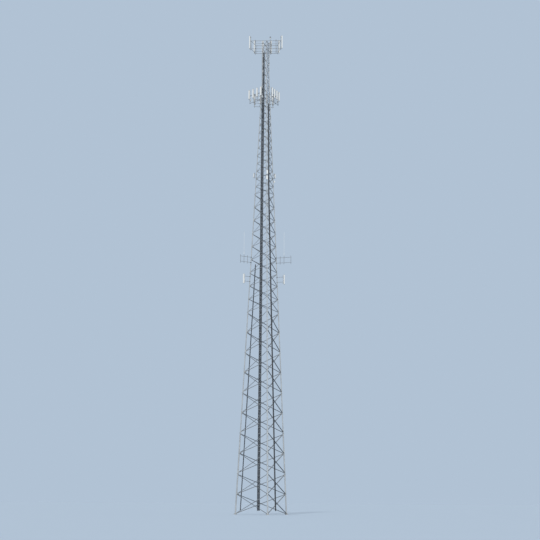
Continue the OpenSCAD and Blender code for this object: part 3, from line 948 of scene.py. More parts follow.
@dataclass(frozen=True)
class BoltMaker:
    """A hexagon bolt, whose head, washers, nut and tail are given as shares of its thread."""

    thread: float = 0.008
    hexagon: float = 0.87
    washer: float = 0.15
    head_h: float = 0.6
    nut_h: float = 0.75
    tail_h: float = 0.3
    tail_r: float = 0.46

    @property
    def hex_r(self) -> float:
        """Radius over the corners of the head and nut."""
        return self.thread * self.hexagon

    def head(self, grip: float) -> Stamp:
        """Makes a bolt along z whose head sits on z = 0 and nut on z = -grip.

        Args:
            grip: thickness that the bolt holds together.

        Returns:
            The bolt.
        """
        shape = bmesh.new()
        washer, nut_h = self.thread * self.washer, self.thread * self.nut_h
        nut_z = -grip - washer - nut_h
        tail_h = self.thread * self.tail_h
        add_prism(shape, self.thread, washer, 10)
        add_prism(shape, self.hex_r, self.thread * self.head_h, 6, lift(washer))
        add_prism(shape, self.thread, washer, 10, lift(-grip - washer))
        add_prism(shape, self.hex_r, nut_h, 6, lift(nut_z))
        add_prism(shape, self.thread * self.tail_r, tail_h, 8, lift(nut_z - tail_h))
        return Stamp(shape)


@dataclass(frozen=True)
class FlangeBolts:
    """Rings of bolts through the flanges between leg sections."""

    count: int = 8
    bolts: BoltMaker = BoltMaker(0.011)

    def places(self) -> Iterator[Matrix]:
        """Finds the bolts of every joint.

        Returns:
            The frame under each bolt's head.
        """
        for leg in Leg:
            for joint in range(1, PLAN.sections):
                centre = PLAN.at_leg(leg, joint * PLAN.section_h, PLAN.leg_lean(joint))
                circle = (PLAN.leg_od(joint - 1) + PLAN.flange_lip) / 2
                for k in range(self.count):
                    spot = turn((k + 0.5) * 360 / self.count, "Z")
                    yield centre @ spot @ move(circle, 0, PLAN.flange_t + PLAN.seat / 2)

    def build(self) -> None:
        """Builds all flange bolts as one piece."""
        bolt = self.bolts.head(2 * PLAN.flange_t + PLAN.seat)
        stamp_piece("flange_bolts", bolt, self.places(), BOLT_ZINC)


@dataclass(frozen=True)
class BraceBolts:
    """Bolts at the ends and crossings of the braces on one face."""

    side: Side
    per_end: int = 2
    first: float = 0.45
    thread: float = 0.0085
    thread_share: float = 0.26

    def ends(self, section: int, bay: int) -> Iterator[tuple[Matrix, float]]:
        """Finds the bolts of a bay's braces.

        Args:
            section: index of the tower section.
            bay: index of the bay in the section.

        Returns:
            Each bolt's frame, whose z looks away from the brace, and its grip.
        """
        low = PLAN.bay_z(section, bay)
        plane = PLAN.on_face(self.side, low, PLAN.face_lean(section))
        rise, span = PLAN.bay_rise(section, bay), PLAN.bay_span(section, bay)
        angle = math.atan2(rise, span)
        half = PLAN.face_w(low) / 2
        width = PLAN.brace_w(section)
        start = PLAN.brace_start(section, angle)
        length = math.hypot(rise, span)
        face_x = PLAN.plate_x + PLAN.brace_t
        aside = PLAN.brace_t / 2
        spots = [start + width * (self.first + k) for k in range(self.per_end)]
        spots += [length - spot for spot in spots]
        for out in (1, -1):
            outward = turn(90 * out, "Y")
            for spot in spots:
                along = out * (half - spot * math.cos(angle) - aside * math.sin(angle))
                up = spot * math.sin(angle) - aside * math.cos(angle)
                yield plane @ move(out * face_x, along, up) @ outward, face_x + PLAN.gusset_t / 2
        cross = rise * half / span
        yield plane @ move(face_x, 0, cross) @ turn(90, "Y"), 2 * face_x

    def build(self) -> None:
        """Builds the face's bolts as one piece."""
        shape = bmesh.new()
        stamps: dict[Pair, Stamp] = {}
        for side, section, bay in PLAN.each_bay():
            if side is not self.side:
                continue
            thread = min(self.thread, PLAN.brace_w(section) * self.thread_share)
            for place, grip in self.ends(section, bay):
                key = (thread, round(grip, 5))
                if key not in stamps:
                    stamps[key] = BoltMaker(thread).head(grip)
                stamps[key].put(shape, place)
        for stamp in stamps.values():
            stamp.discard()
        finish_piece(f"{self.side.name.lower()}_face_bolts", shape, BOLT_ZINC)


@dataclass(frozen=True)
class AnchorBolts:
    """Threaded anchors with double nuts and plate washers at the three feet."""

    circle: float = 0.196
    count: int = 6
    plate_t: float = 0.020
    rod_r: float = 0.0088
    rod_h: float = 0.085
    ridges: int = 12
    pinch: float = 0.88
    washer: Pair = (0.021, 0.004)
    nut: Pair = (0.0155, 0.016)
    nut_z: Pair = (0.004, 0.0215)
    twist: float = 20.0

    def bolt(self) -> Stamp:
        """Makes one anchor as it stands above the base plate.

        Returns:
            The anchor.
        """
        ridges = [(self.rod_r * (self.pinch if k % 2 else 1.0), k * self.rod_h / self.ridges)
                  for k in range(self.ridges + 1)]
        shape = turned_shape([(0, 0), *ridges, (0, self.rod_h)], 16)
        add_prism(shape, *self.washer, 20)
        for z in self.nut_z:
            add_prism(shape, *self.nut, 6, lift(z))
        return Stamp(shape)

    def places(self) -> Iterator[Matrix]:
        """Finds the anchors of the three feet.

        Returns:
            The frame of each anchor on its base plate.
        """
        for leg in Leg:
            foot = PLAN.at_leg(leg, 0, 0)
            for k in range(self.count):
                spot = turn(k * 360 / self.count, "Z") @ move(self.circle / 2, 0, self.plate_t)
                yield foot @ spot @ turn(self.twist * k, "Z")

    def build(self) -> None:
        """Builds all anchors as one piece."""
        stamp_piece("anchor_bolts", self.bolt(), self.places(), BOLT_ZINC)


@dataclass(frozen=True)
class StepBolts:
    """Step bolts up the front leg."""

    first: float = 1.4
    pitch: float = 0.19
    reach: float = 0.085
    rod_r: float = 0.0042
    splay: float = 52.0
    clear: float = 0.05
    top_clear: float = 0.15
    lug: Triple = (0.012, 0.022, 0.022)
    nut: float = 1.9
    head: float = 2.4
    head_h: float = 0.006
    sunk: float = 0.001

    def step(self) -> Stamp:
        """Makes one step bolt along x from the pipe's skin, with lug, nut and end head.

        Returns:
            The step bolt.
        """
        shape = bmesh.new()
        add_block(shape, self.lug, move(self.lug[0] / 2 - self.sunk, 0, 0))
        along = turn(90, "Y")
        add_prism(shape, self.rod_r, self.reach, 8, along)
        add_prism(shape, self.rod_r * self.nut, self.head_h, 6, move(self.lug[0], 0, 0) @ along)
        add_prism(shape, self.rod_r * self.head, self.head_h, 10, move(self.reach, 0, 0) @ along)
        return Stamp(shape)

    def joint_near(self, z: float) -> bool:
        """Tells whether a height is too close to a flange for a step."""
        return abs(z / PLAN.section_h - round(z / PLAN.section_h)) * PLAN.section_h < self.clear

    def places(self) -> Iterator[Matrix]:
        """Finds the steps, to the right and left in turn.

        Returns:
            The frame of each step.
        """
        for k in range(int((PLAN.height - self.top_clear - self.first) / self.pitch)):
            z = self.first + k * self.pitch
            if self.joint_near(z):
                continue
            section = PLAN.section_at(z)
            side = self.splay if k % 2 else -self.splay
            skin = PLAN.leg_od(section) / 2 - self.sunk
            yield PLAN.at_leg(Leg.FRONT, z, PLAN.leg_lean(section)) @ turn(side, "Z") @ move(skin, 0, 0)

    def build(self) -> None:
        """Builds the step bolts as one piece."""
        stamp_piece("step_bolts", self.step(), self.places(), BOLT_ZINC)


@dataclass(frozen=True)
class FeedlineRun:
    """Fittings of one feedline ladder: line clamps on the rungs, rail splices, boots and connectors.

    The run starts at a height along the face and may lean within the face.
    """

    name: str
    side: Side
    start: float
    end: float
    offset: float
    rate: float = 0.0
    section: int = 0
    lines: int = 8
    line_d: float = 0.023
    pitch: float = 0.026
    rung_pitch: float = 0.450
    rail_x: float = 0.0533
    rail_d: float = 0.020
    rail_t: float = 0.006
    ladder_w: float = 0.222
    strap_t: float = 0.001
    strap_half: float = 0.006
    slack: float = 0.0002
    plate_t: float = 0.003
    splice_bolts: tuple[float, ...] = (-0.048, -0.018, 0.018, 0.048)
    splice_w: float = 0.016
    splice_h: float = 0.130
    splice_clear: float = 0.2
    foot_w: float = 0.024
    foot_share: float = 0.36
    foot_clear: float = 0.02
    below: float = 0.0
    over: float = 0.0
    top_margin: float = 0.1125

    @property
    def length(self) -> float:
        """Length of the run along its ladder."""
        return (self.end - self.start) / math.cos(math.atan(self.rate))

    @property
    def line_x(self) -> float:
        """Distance of the lines' centres from the face."""
        return self.rail_x + self.rail_d + PLAN.seat + self.line_d / 2

    def on_lines(self, z: float) -> Iterator[Matrix]:
        """Yields the place on each line's centre at a height up the run."""
        for across in spread(self.lines, (self.lines - 1) * self.pitch):
            yield self.plane() @ move(self.line_x, across, z)

    def plane(self) -> Matrix:
        """Finds the run's foot.

        Returns:
            Its frame, with z along the run.
        """
        z = 0.0 if self.section < PLAN.straight_from else PLAN.taper_h
        face = PLAN.on_face(self.side, z, PLAN.face_lean(self.section))
        along = move(0, self.offset + self.rate * self.start, self.start)
        return face @ along @ turn(-math.degrees(math.atan(self.rate)), "X")

    def clamp(self) -> Stamp:
        """Makes a hanger round one line: a half ring with a foot, on the rung's face.

        Returns:
            The hanger.
        """
        shape = bmesh.new()
        radius = self.line_d / 2 + self.slack
        strap_t, half = self.strap_t, self.strap_half
        outline = [shape.verts.new((0, radius, z)) for z in (-half, half)]
        edge = shape.edges.new(outline)
        bmesh.ops.spin(shape, geom=[*outline, edge], cent=(0, 0, 0), axis=(0, 0, 1),
                       angle=-math.pi, steps=8, use_duplicate=False)
        bmesh.ops.recalc_face_normals(shape, faces=shape.faces)
        bmesh.ops.solidify(shape, geom=shape.faces[:], thickness=strap_t)
        bmesh.ops.recalc_face_normals(shape, faces=shape.faces)
        add_block(shape, (0.006, 0.008, 0.010), move(radius + 0.002, 0, 0))
        for k in (-1, 1):
            add_block(shape, (0.0125, strap_t, 2 * half), move(-0.0058, k * (radius + strap_t / 2), 0))
        return Stamp(shape)

    def rungs(self) -> Iterator[float]:
        """Finds the rungs' middles.

        Returns:
            How far up the run each lies.
        """
        z = self.rung_pitch / 2
        while z < self.length - self.top_margin:
            yield z + self.rail_d / 2
            z += self.rung_pitch

    def clamps(self) -> None:
        """Builds the run's line clamps as one piece."""
        places = (place for z in self.rungs() for place in self.on_lines(z))
        stamp_piece(f"{self.name}_line_clamps", self.clamp(), places, BLACK_CAP)

    def splices(self) -> None:
        """Builds the plates and bolts that join the rails at every section as one piece."""
        shape = bmesh.new()
        foot = self.plane()
        plate_t = self.plate_t
        bolt = BoltMaker(0.006).head(self.rail_t + plate_t)
        each = PLAN.section_h / math.cos(math.radians(PLAN.face_lean(self.section)))
        joints = [k * each - self.start for k in range(1, PLAN.straight_from)]
        for z in (z for z in joints if self.splice_clear < z < self.length - self.splice_clear):
            for k in (-1, 1):
                aside = k * (self.ladder_w + self.rail_t) / 2
                face = foot @ move(self.rail_x + self.rail_d / 2, aside, z)
                size = (self.splice_w, plate_t, self.splice_h)
                add_block(shape, size, face @ move(0, k * plate_t / 2, 0))
                for up in self.splice_bolts:
                    bolt.put(shape, face @ move(0, k * plate_t, up) @ turn(-90 * k, "X"))
        bolt.discard()
        finish_piece(f"{self.name}_rail_splices", shape, BOLT_ZINC)

    def feet(self) -> None:
        """Builds the angle feet that bolt the rails' clips to the braces as one piece."""
        shape = bmesh.new()
        plane = PLAN.on_face(self.side, 0.0, PLAN.face_lean(0))
        foot_t, foot_w = self.plate_t, self.foot_w
        bolt = BoltMaker(0.0065).head(foot_t + PLAN.brace_t)
        half = self.ladder_w / 2 / math.cos(math.atan(self.rate))
        for section in range(PLAN.straight_from):
            height = PLAN.brace_w(section) * self.foot_share
            for bay in range(PLAN.bays(section)):
                slope = math.degrees(math.atan2(PLAN.bay_rise(section, bay), PLAN.bay_span(section, bay)))
                for k in (-1, 1):
                    along, up = PLAN.clip_point(section, bay, self.offset + k * half, self.rate)
                    if not self.start + self.foot_clear < up < self.end - self.foot_clear:
                        continue
                    seat = move(PLAN.plate_x + PLAN.brace_t + PLAN.seat, along, up - PLAN.brace_t / 2)
                    here = plane @ seat @ turn(-slope, "X")
                    middle = k * (foot_w + self.rail_t) / 2
                    add_block(shape, (foot_t, foot_w, height), here @ move(foot_t / 2, middle, 0))
                    bolt.put(shape, here @ move(foot_t, middle, 0) @ turn(90, "Y"))
        bolt.discard()
        finish_piece(f"{self.name}_ladder_feet", shape, BOLT_ZINC)

    def fit_ends(self, label: str, profile: Sequence[Pair], z: float, finish: Finish) -> None:
        """Builds a turned fitting on each line, at a height up the run, as one piece."""
        fitting = Stamp(turned_shape(profile, 16))
        stamp_piece(f"{self.name}_{label}", fitting, self.on_lines(z), finish)

    def boots(self) -> None:
        """Builds the sealing boots on the lines' lower ends as one piece."""
        snug = self.line_d / 2 + 0.001
        profile = [(0, -0.014), (snug - 0.004, -0.014), (snug, -0.010), (snug, 0.034),
                   (snug - 0.0012, 0.038), (0, 0.038)]
        self.fit_ends("boots", profile, -self.below, BLACK_CAP)

    def connectors(self) -> None:
        """Builds the connectors on the lines' upper ends as one piece."""
        profile = [(0, -0.032), (0.0121, -0.032), (0.0126, -0.028), (0.0126, 0.006), (0.0100, 0.008),
                   (0.0100, 0.020), (0.0124, 0.021), (0.0124, 0.036), (0.0086, 0.038), (0.0086, 0.044),
                   (0, 0.044)]
        self.fit_ends("connectors", profile, self.length + self.over, STAINLESS)

    def build(self) -> None:
        """Builds the run's fittings."""
        self.clamps()
        if self.section < PLAN.straight_from:
            self.splices()
            self.feet()
        if self.below:
            self.boots()
        if self.over:
            self.connectors()


@dataclass(frozen=True)
class SideRun(FeedlineRun):
    """Fittings of the narrow run beside the left leg, which a bracket holds in every bay."""

    bracket_clear: Pair = (0.150, 0.060)

    def rungs(self) -> Iterator[float]:
        """Finds the brackets' middles.

        Returns:
            How far up the run each lies.
        """
        for section in range(PLAN.straight_from):
            for bay in range(PLAN.bays(section)):
                up = PLAN.clip_point(section, bay, self.offset, self.rate)[1]
                if self.start + self.bracket_clear[0] < up < self.end - self.bracket_clear[1]:
                    yield (up - PLAN.brace_t / 2 - self.start) / math.cos(math.atan(self.rate))

    def build(self) -> None:
        """Builds the run's clamps, boots and connectors."""
        self.clamps()
        self.boots()
        self.connectors()


@dataclass(frozen=True)
class Mast:
    """An upright mount pipe, held to rails behind it.

    Its place lies on the pipe's centre line at ground level, with x away from the rails.
    """

    place: Matrix
    levels: tuple[float, ...]
    rail_d: float = 0.030
    pipe_d: float = 0.030


def both_ends(place: Matrix, low: float, high: float) -> tuple[Matrix, Matrix]:
    """Returns the frames of an upright pipe's two ends, with z outwards."""
    return place @ lift(high), place @ lift(low) @ turn(180, "X")


@dataclass(frozen=True)
class PanelSpot:
    """A panel antenna's size (depth, width, length) and place on its pipe's centre line."""

    place: Matrix
    size: Triple
    pipe_d: float = 0.030
    ports: int = 4


@dataclass(frozen=True)
class LegClamp:
    """A ring clamp round a leg, with x of its place half-way between its bolts."""

    place: Matrix
    pipe_d: float
    wall: float = 0.014
    height: float = 0.050


@dataclass(frozen=True)
class TopRing:
    """Sizes of the top array's turned ring of rails, and the places on it."""

    front_half: float = 1.160
    back_half: float = 0.850
    front_y: float = 0.600
    back_y: float = 0.660
    turned: float = 12.0
    leg_d: float = PLAN.leg_od(PLAN.sections - 1)
    levels: Pair = (35.775, 36.410)
    rail_d: float = 0.030
    side_d: float = 0.025
    end_gap: float = 0.050
    back_mast: float = 0.320
    front_pipe: float = 0.800
    mast_ends: Pair = (35.675, 36.805)
    pipe_z: Pair = (35.395, 36.490)
    panel_z: float = 36.312
    panel: Triple = (0.068, 0.140, 1.025)
    bolt_turns: Triple = (-12.0, 3.0, -27.0)

    def panel_masts(self) -> Iterator[Mast]:
        """Finds the masts that carry panels.

        Returns:
            The masts.
        """
        level = PLAN.towards(-self.turned, 0)
        across, along = self.front_half - self.back_half, self.front_y + self.back_y
        slope, length = math.degrees(math.atan2(across, along)), math.hypot(across, along)
        off = (self.side_d + self.rail_d) / 2 + PLAN.seat
        for k in (1, -1):
            corner = level @ move(k * self.front_half, -self.front_y, 0) @ turn(k * slope, "Z")
            for y in (self.end_gap, length - self.end_gap):
                outwards = turn(0 if k > 0 else 180, "Z")
                yield Mast(corner @ move(k * off, y, 0) @ outwards, self.levels, self.side_d)
        for x in (-self.back_mast, self.back_mast):
            behind = self.back_y + self.rail_d + PLAN.seat
            yield Mast(level @ move(x, behind, 0) @ turn(90, "Z"), self.levels)

    def pipe_ends(self) -> Iterator[Matrix]:
        """Finds the ends of the upright pipes.

        Returns:
            Their frames, with z outwards.
        """
        for masts, ends in ((self.panel_masts(), self.mast_ends), (self.bare_masts(), self.pipe_z)):
            for mast in masts:
                yield from both_ends(mast.place, *ends)

    def bare_masts(self) -> Iterator[Mast]:
        """Finds the bare pipes in front of the ring.

        Returns:
            The pipes as masts.
        """
        level = PLAN.towards(-self.turned, 0)
        for x in (-self.front_pipe, self.front_pipe):
            before = -self.front_y - self.rail_d - PLAN.seat
            yield Mast(level @ move(x, before, 0) @ turn(-90, "Z"), self.levels)

    def clamps(self) -> Iterator[LegClamp]:
        """Finds the ring's clamps on the legs, bolted between their arms.

        Returns:
            The clamps.
        """
        for leg in Leg:
            for z in self.levels:
                place = PLAN.at_leg(leg, z, 0) @ turn(self.bolt_turns[leg.value], "Z")
                yield LegClamp(place, self.leg_d)

    def panels(self) -> Iterator[PanelSpot]:
        """Yields the ring's panels."""
        for mast in self.panel_masts():
            yield PanelSpot(mast.place @ lift(self.panel_z), self.panel, ports=6)


@dataclass(frozen=True)
class SecondArray:
    """Sizes of the second array, with a pair of rails off each face, and the places on it."""

    reaches: Triple = (0.715, 1.080, 0.980)
    mast_y: tuple[float, ...] = (-0.725, -0.250, 0.250, 0.725)
    levels: Pair = (31.550, 32.130)
    rail_d: float = 0.030
    mast_ends: Pair = (31.490, 32.600)
    panel_z: float = 32.200
    panel: Triple = (0.068, 0.126, 0.700)
    radio_z: float = 31.780

    def masts(self, outer_only: bool = False) -> Iterator[Mast]:
        """Finds the array's masts.

        Args:
            outer_only: whether only the outer two of each side are asked for.

        Returns:
            The masts.
        """
        for side, reach in zip(Side, self.reaches):
            level = PLAN.towards(-30 + 120 * side.value, 0)
            for y in (self.mast_y[0], self.mast_y[-1]) if outer_only else self.mast_y:
                yield Mast(level @ move(reach + self.rail_d + PLAN.seat, y, 0), self.levels)

    def pipe_ends(self) -> Iterator[Matrix]:
        """Yields the frame of each upright pipe's end, with z outwards."""
        for mast in self.masts():
            yield from both_ends(mast.place, *self.mast_ends)

    def clamps(self) -> Iterator[LegClamp]:
        """Finds the clamps on the legs, bolted on their outer and inner sides.

        Returns:
            The clamps.
        """
        for leg in Leg:
            for z in self.levels:
                place = PLAN.at_leg(leg, z, PLAN.leg_lean(0)) @ turn(90, "Z")
                yield LegClamp(place, PLAN.leg_od(PLAN.section_at(z)))

    def panels(self) -> Iterator[PanelSpot]:
        """Yields the array's panels."""
        for mast in self.masts():
            yield PanelSpot(mast.place @ lift(self.panel_z), self.panel)


@dataclass(frozen=True)
class LowerMounts:
    """Sizes of the three lower levels, and the places on them."""

    third_z: float = 25.700
    third_gap: float = 0.240
    third_out: float = 0.130
    third_up: float = 0.200
    third_clamp: Pair = (0.012, 0.036)
    third_pipe: Pair = (-0.030, 0.430)
    third_pipe_d: float = 0.026
    fourth_z: float = 19.100
    fourth_gap: float = 0.400
    fifth_z: float = 17.620
    fifth_gap: float = 0.380
    post_over: float = 0.120
    fifth_post: float = 0.500
    third_panel: Triple = (0.050, 0.110, 0.340)
    fifth_panel: Triple = (0.068, 0.140, 0.740)
    arm_lengths: Pair = (1.220, 1.040)
    arm_end: float = 0.030
    whip_posts: Pair = (0.625, 0.675)
    arm_turn: float = 30.0
    clamp_turn: float = 15.0

    def beside(self, leg: Leg, z: float, out: float) -> Matrix:
        """Finds a place on a back leg's side arm.

        Args:
            leg: which leg.
            z: height of the arm.
            out: distance from the leg.

        Returns:
            The place's frame, with x along the arm.
        """
        side = 1 if leg is Leg.RIGHT else -1
        centre = move(side * PLAN.face_w(z) / 2, PLAN.axis_y + PLAN.face_reach(z), z)
        return centre @ turn(90 - side * (90 + self.arm_turn), "Z") @ move(out, 0, 0)

    def arms(self) -> Iterator[tuple[Leg, float, float, float, tuple[float, ...]]]:
        """Goes through the pairs of side arms.

        Returns:
            Each pair's leg, height, gap and length, and its posts' distances.
        """
        for leg, whip, length in zip(BACK_LEGS, self.whip_posts, self.arm_lengths):
            yield leg, self.fourth_z, self.fourth_gap, length, (whip / 2, whip, length - self.arm_end)
            yield leg, self.fifth_z, self.fifth_gap, self.fifth_post + self.arm_end, (self.fifth_post,)

    def crossings(self) -> Iterator[tuple[Leg, float, float, float, float]]:
        """Goes through the crossings of arms and posts.

        Returns:
            Each crossing's leg, height, rise, arm length and post distance.
        """
        for leg, z, gap, length, posts in self.arms():
            for up in (0.0, gap):
                for post in posts:
                    yield leg, z, up, length, post

    def post_ends(self) -> Iterator[Matrix]:
        """Finds the ends of the side arms' posts.

        Returns:
            Their frames, with z outwards.
        """
        for leg, z, gap, _, posts in self.arms():
            for post in posts:
                yield from both_ends(self.beside(leg, z, post), -self.post_over, gap + self.post_over)

    def third_ends(self) -> Iterator[Matrix]:
        """Finds the ends of the third level's pipes.

        Returns:
            Their frames, with z outwards.
        """
        for leg in Leg:
            foot = PLAN.at_leg(leg, self.third_z, PLAN.leg_lean(0)) @ move(self.third_out, 0, 0)
            yield from both_ends(foot, *self.third_pipe)

    def clamps(self) -> Iterator[LegClamp]:
        """Finds the clamps of the lower levels on the legs.

        Returns:
            The clamps.
        """
        lean = PLAN.leg_lean(0)
        for leg in Leg:
            for up in (0.0, self.third_gap):
                place = PLAN.at_leg(leg, self.third_z, lean) @ lift(up)
                yield LegClamp(place, PLAN.leg_od(PLAN.section_at(self.third_z)), *self.third_clamp)
        for leg in BACK_LEGS:
            clear = turn(-self.clamp_turn if leg is Leg.RIGHT else self.clamp_turn, "Z")
            for z in (self.fourth_z, self.fourth_z + self.fourth_gap, self.fifth_z,
                      self.fifth_z + self.fifth_gap):
                yield LegClamp(PLAN.at_leg(leg, z, lean) @ clear, PLAN.leg_od(PLAN.section_at(z)))

    def panels(self) -> Iterator[PanelSpot]:
        """Finds the small panels of the third and fifth levels.

        Returns:
            Their sizes and places.
        """
        for leg in Leg:
            pipe = PLAN.at_leg(leg, self.third_z, PLAN.leg_lean(0))
            yield PanelSpot(pipe @ move(self.third_out, 0, self.third_up), self.third_panel,
                            self.third_pipe_d, 2)
        for leg in BACK_LEGS:
            spot = self.beside(leg, self.fifth_z, self.fifth_post) @ lift(self.fifth_gap / 2)
            yield PanelSpot(spot, self.fifth_panel, ports=2)

    def whips(self) -> Iterator[Matrix]:
        """Finds the feet of the whip antennas.

        Returns:
            Their frames.
        """
        for leg, out in zip(BACK_LEGS, self.whip_posts):
            up = self.fourth_gap + self.post_over + PLAN.seat
            yield self.beside(leg, self.fourth_z, out) @ lift(up)


TOP_RING = TopRing()
SECOND_ARRAY = SecondArray()
LOWER_MOUNTS = LowerMounts()


@dataclass(frozen=True)
class CrossClamps:
    """Pairs of U-bolts with a back plate that hold the arrays' masts against their rails."""

    rod_r: float = 0.0035
    plate_t: float = 0.005
    off_rail: float = 0.008
    tail: float = 0.014
    nut_h: float = 0.0055
    lap: float = 0.001
    steps: int = 8

    def u_bolt(self, shape: Shape, bend: float, back: float, place: Matrix) -> None:
        """Adds a U-bolt round the z axis of a frame, with its nuts behind a plate.

        Args:
            shape: the mesh to add to.
            bend: distance of the rod's centre line from the axis.
            back: distance of the plate's rear face behind the axis.
            place: frame whose z is the pipe's axis and whose x looks away from the rail.
        """
        arc = bmesh.new()
        end = move(0, -bend, 0) @ turn(90, "Y")
        bmesh.ops.create_circle(arc, cap_ends=True, segments=8, radius=self.rod_r, matrix=end)
        bmesh.ops.spin(arc, geom=[*arc.verts, *arc.edges, *arc.faces], cent=(0, 0, 0), axis=(0, 0, 1),
                       angle=math.pi, steps=self.steps, use_duplicate=False)
        bmesh.ops.recalc_face_normals(arc, faces=arc.faces)
        Stamp(arc).put_once(shape, place)
        for k in (-1, 1):
            rod = place @ move(self.lap, k * bend, 0) @ turn(-90, "Y")
            add_prism(shape, self.rod_r, back + self.tail, 8, rod)
            add_prism(shape, self.rod_r * 2, self.nut_h, 6, rod @ lift(back + self.lap))

    def clamp(self, mast: Mast) -> Stamp:
        """Makes the clamp of one crossing, centred on the rail's height.

        Args:
            mast: the mast that the clamp holds.

        Returns:
            The clamp.
        """
        shape = bmesh.new()
        back = mast.pipe_d / 2 + mast.rail_d + PLAN.seat + self.plate_t
        reach = mast.rail_d / 2 + self.off_rail
        for k in (-1, 1):
            self.u_bolt(shape, mast.pipe_d / 2 + self.rod_r, back, lift(k * reach))
        size = (self.plate_t, mast.pipe_d + 8 * self.rod_r, 2 * reach + 5 * self.rod_r)
        add_block(shape, size, move(self.plate_t / 2 - back, 0, 0))
        return Stamp(shape)

    def build(self) -> None:
        """Builds the clamps of every crossing as one piece."""
        shape = bmesh.new()
        for mast in (*TOP_RING.panel_masts(), *TOP_RING.bare_masts(), *SECOND_ARRAY.masts()):
            stamp = self.clamp(mast)
            for z in mast.levels:
                stamp.put(shape, mast.place @ lift(z))
            stamp.discard()
        finish_piece("cross_clamps", shape, BOLT_ZINC)


@dataclass(frozen=True)
class ClampBolts:
    """Ears and bolts that close the ring clamps on the legs."""

    ear: Pair = (0.009, 0.024)
    ear_share: float = 0.92
    bolt_share: float = 0.26
    bolt_out: float = 0.42
    sunk: float = 0.003
    split: float = 0.004
    bolts: BoltMaker = BoltMaker(0.0075)

    def stamp(self, clamp: LegClamp) -> Stamp:
        """Makes the ears and bolts of one clamp.

        Args:
            clamp: the ring clamp.

        Returns:
            The ears and bolts.
        """
        shape = bmesh.new()
        rim = clamp.pipe_d / 2 + clamp.wall
        thick, long = self.ear
        tall = clamp.height * self.ear_share
        grip = 2 * thick + self.split
        bolt = self.bolts.head(grip)
        for k in (-1, 1):
            middle = k * (rim + long / 2 - self.sunk)
            for x in (-1, 1):
                place = move(x * (self.split + thick) / 2, middle, 0)
                add_block(shape, (thick, long, tall), place)
            add_block(shape, (self.split, 2 * self.sunk, tall), move(0, k * rim, 0))
            for z in (-self.bolt_share, self.bolt_share):
                spot = move(grip / 2, k * (rim + long * self.bolt_out), z * clamp.height)
                bolt.put(shape, spot @ turn(90, "Y"))
        bolt.discard()
        return Stamp(shape)

    def build(self) -> None:
        """Builds the bolts of every leg clamp as one piece."""
        shape = bmesh.new()
        for clamp in (*TOP_RING.clamps(), *SECOND_ARRAY.clamps(), *LOWER_MOUNTS.clamps()):
            self.stamp(clamp).put_once(shape, clamp.place)
        finish_piece("clamp_bolts", shape, SHADED_MOUNT_ZINC)


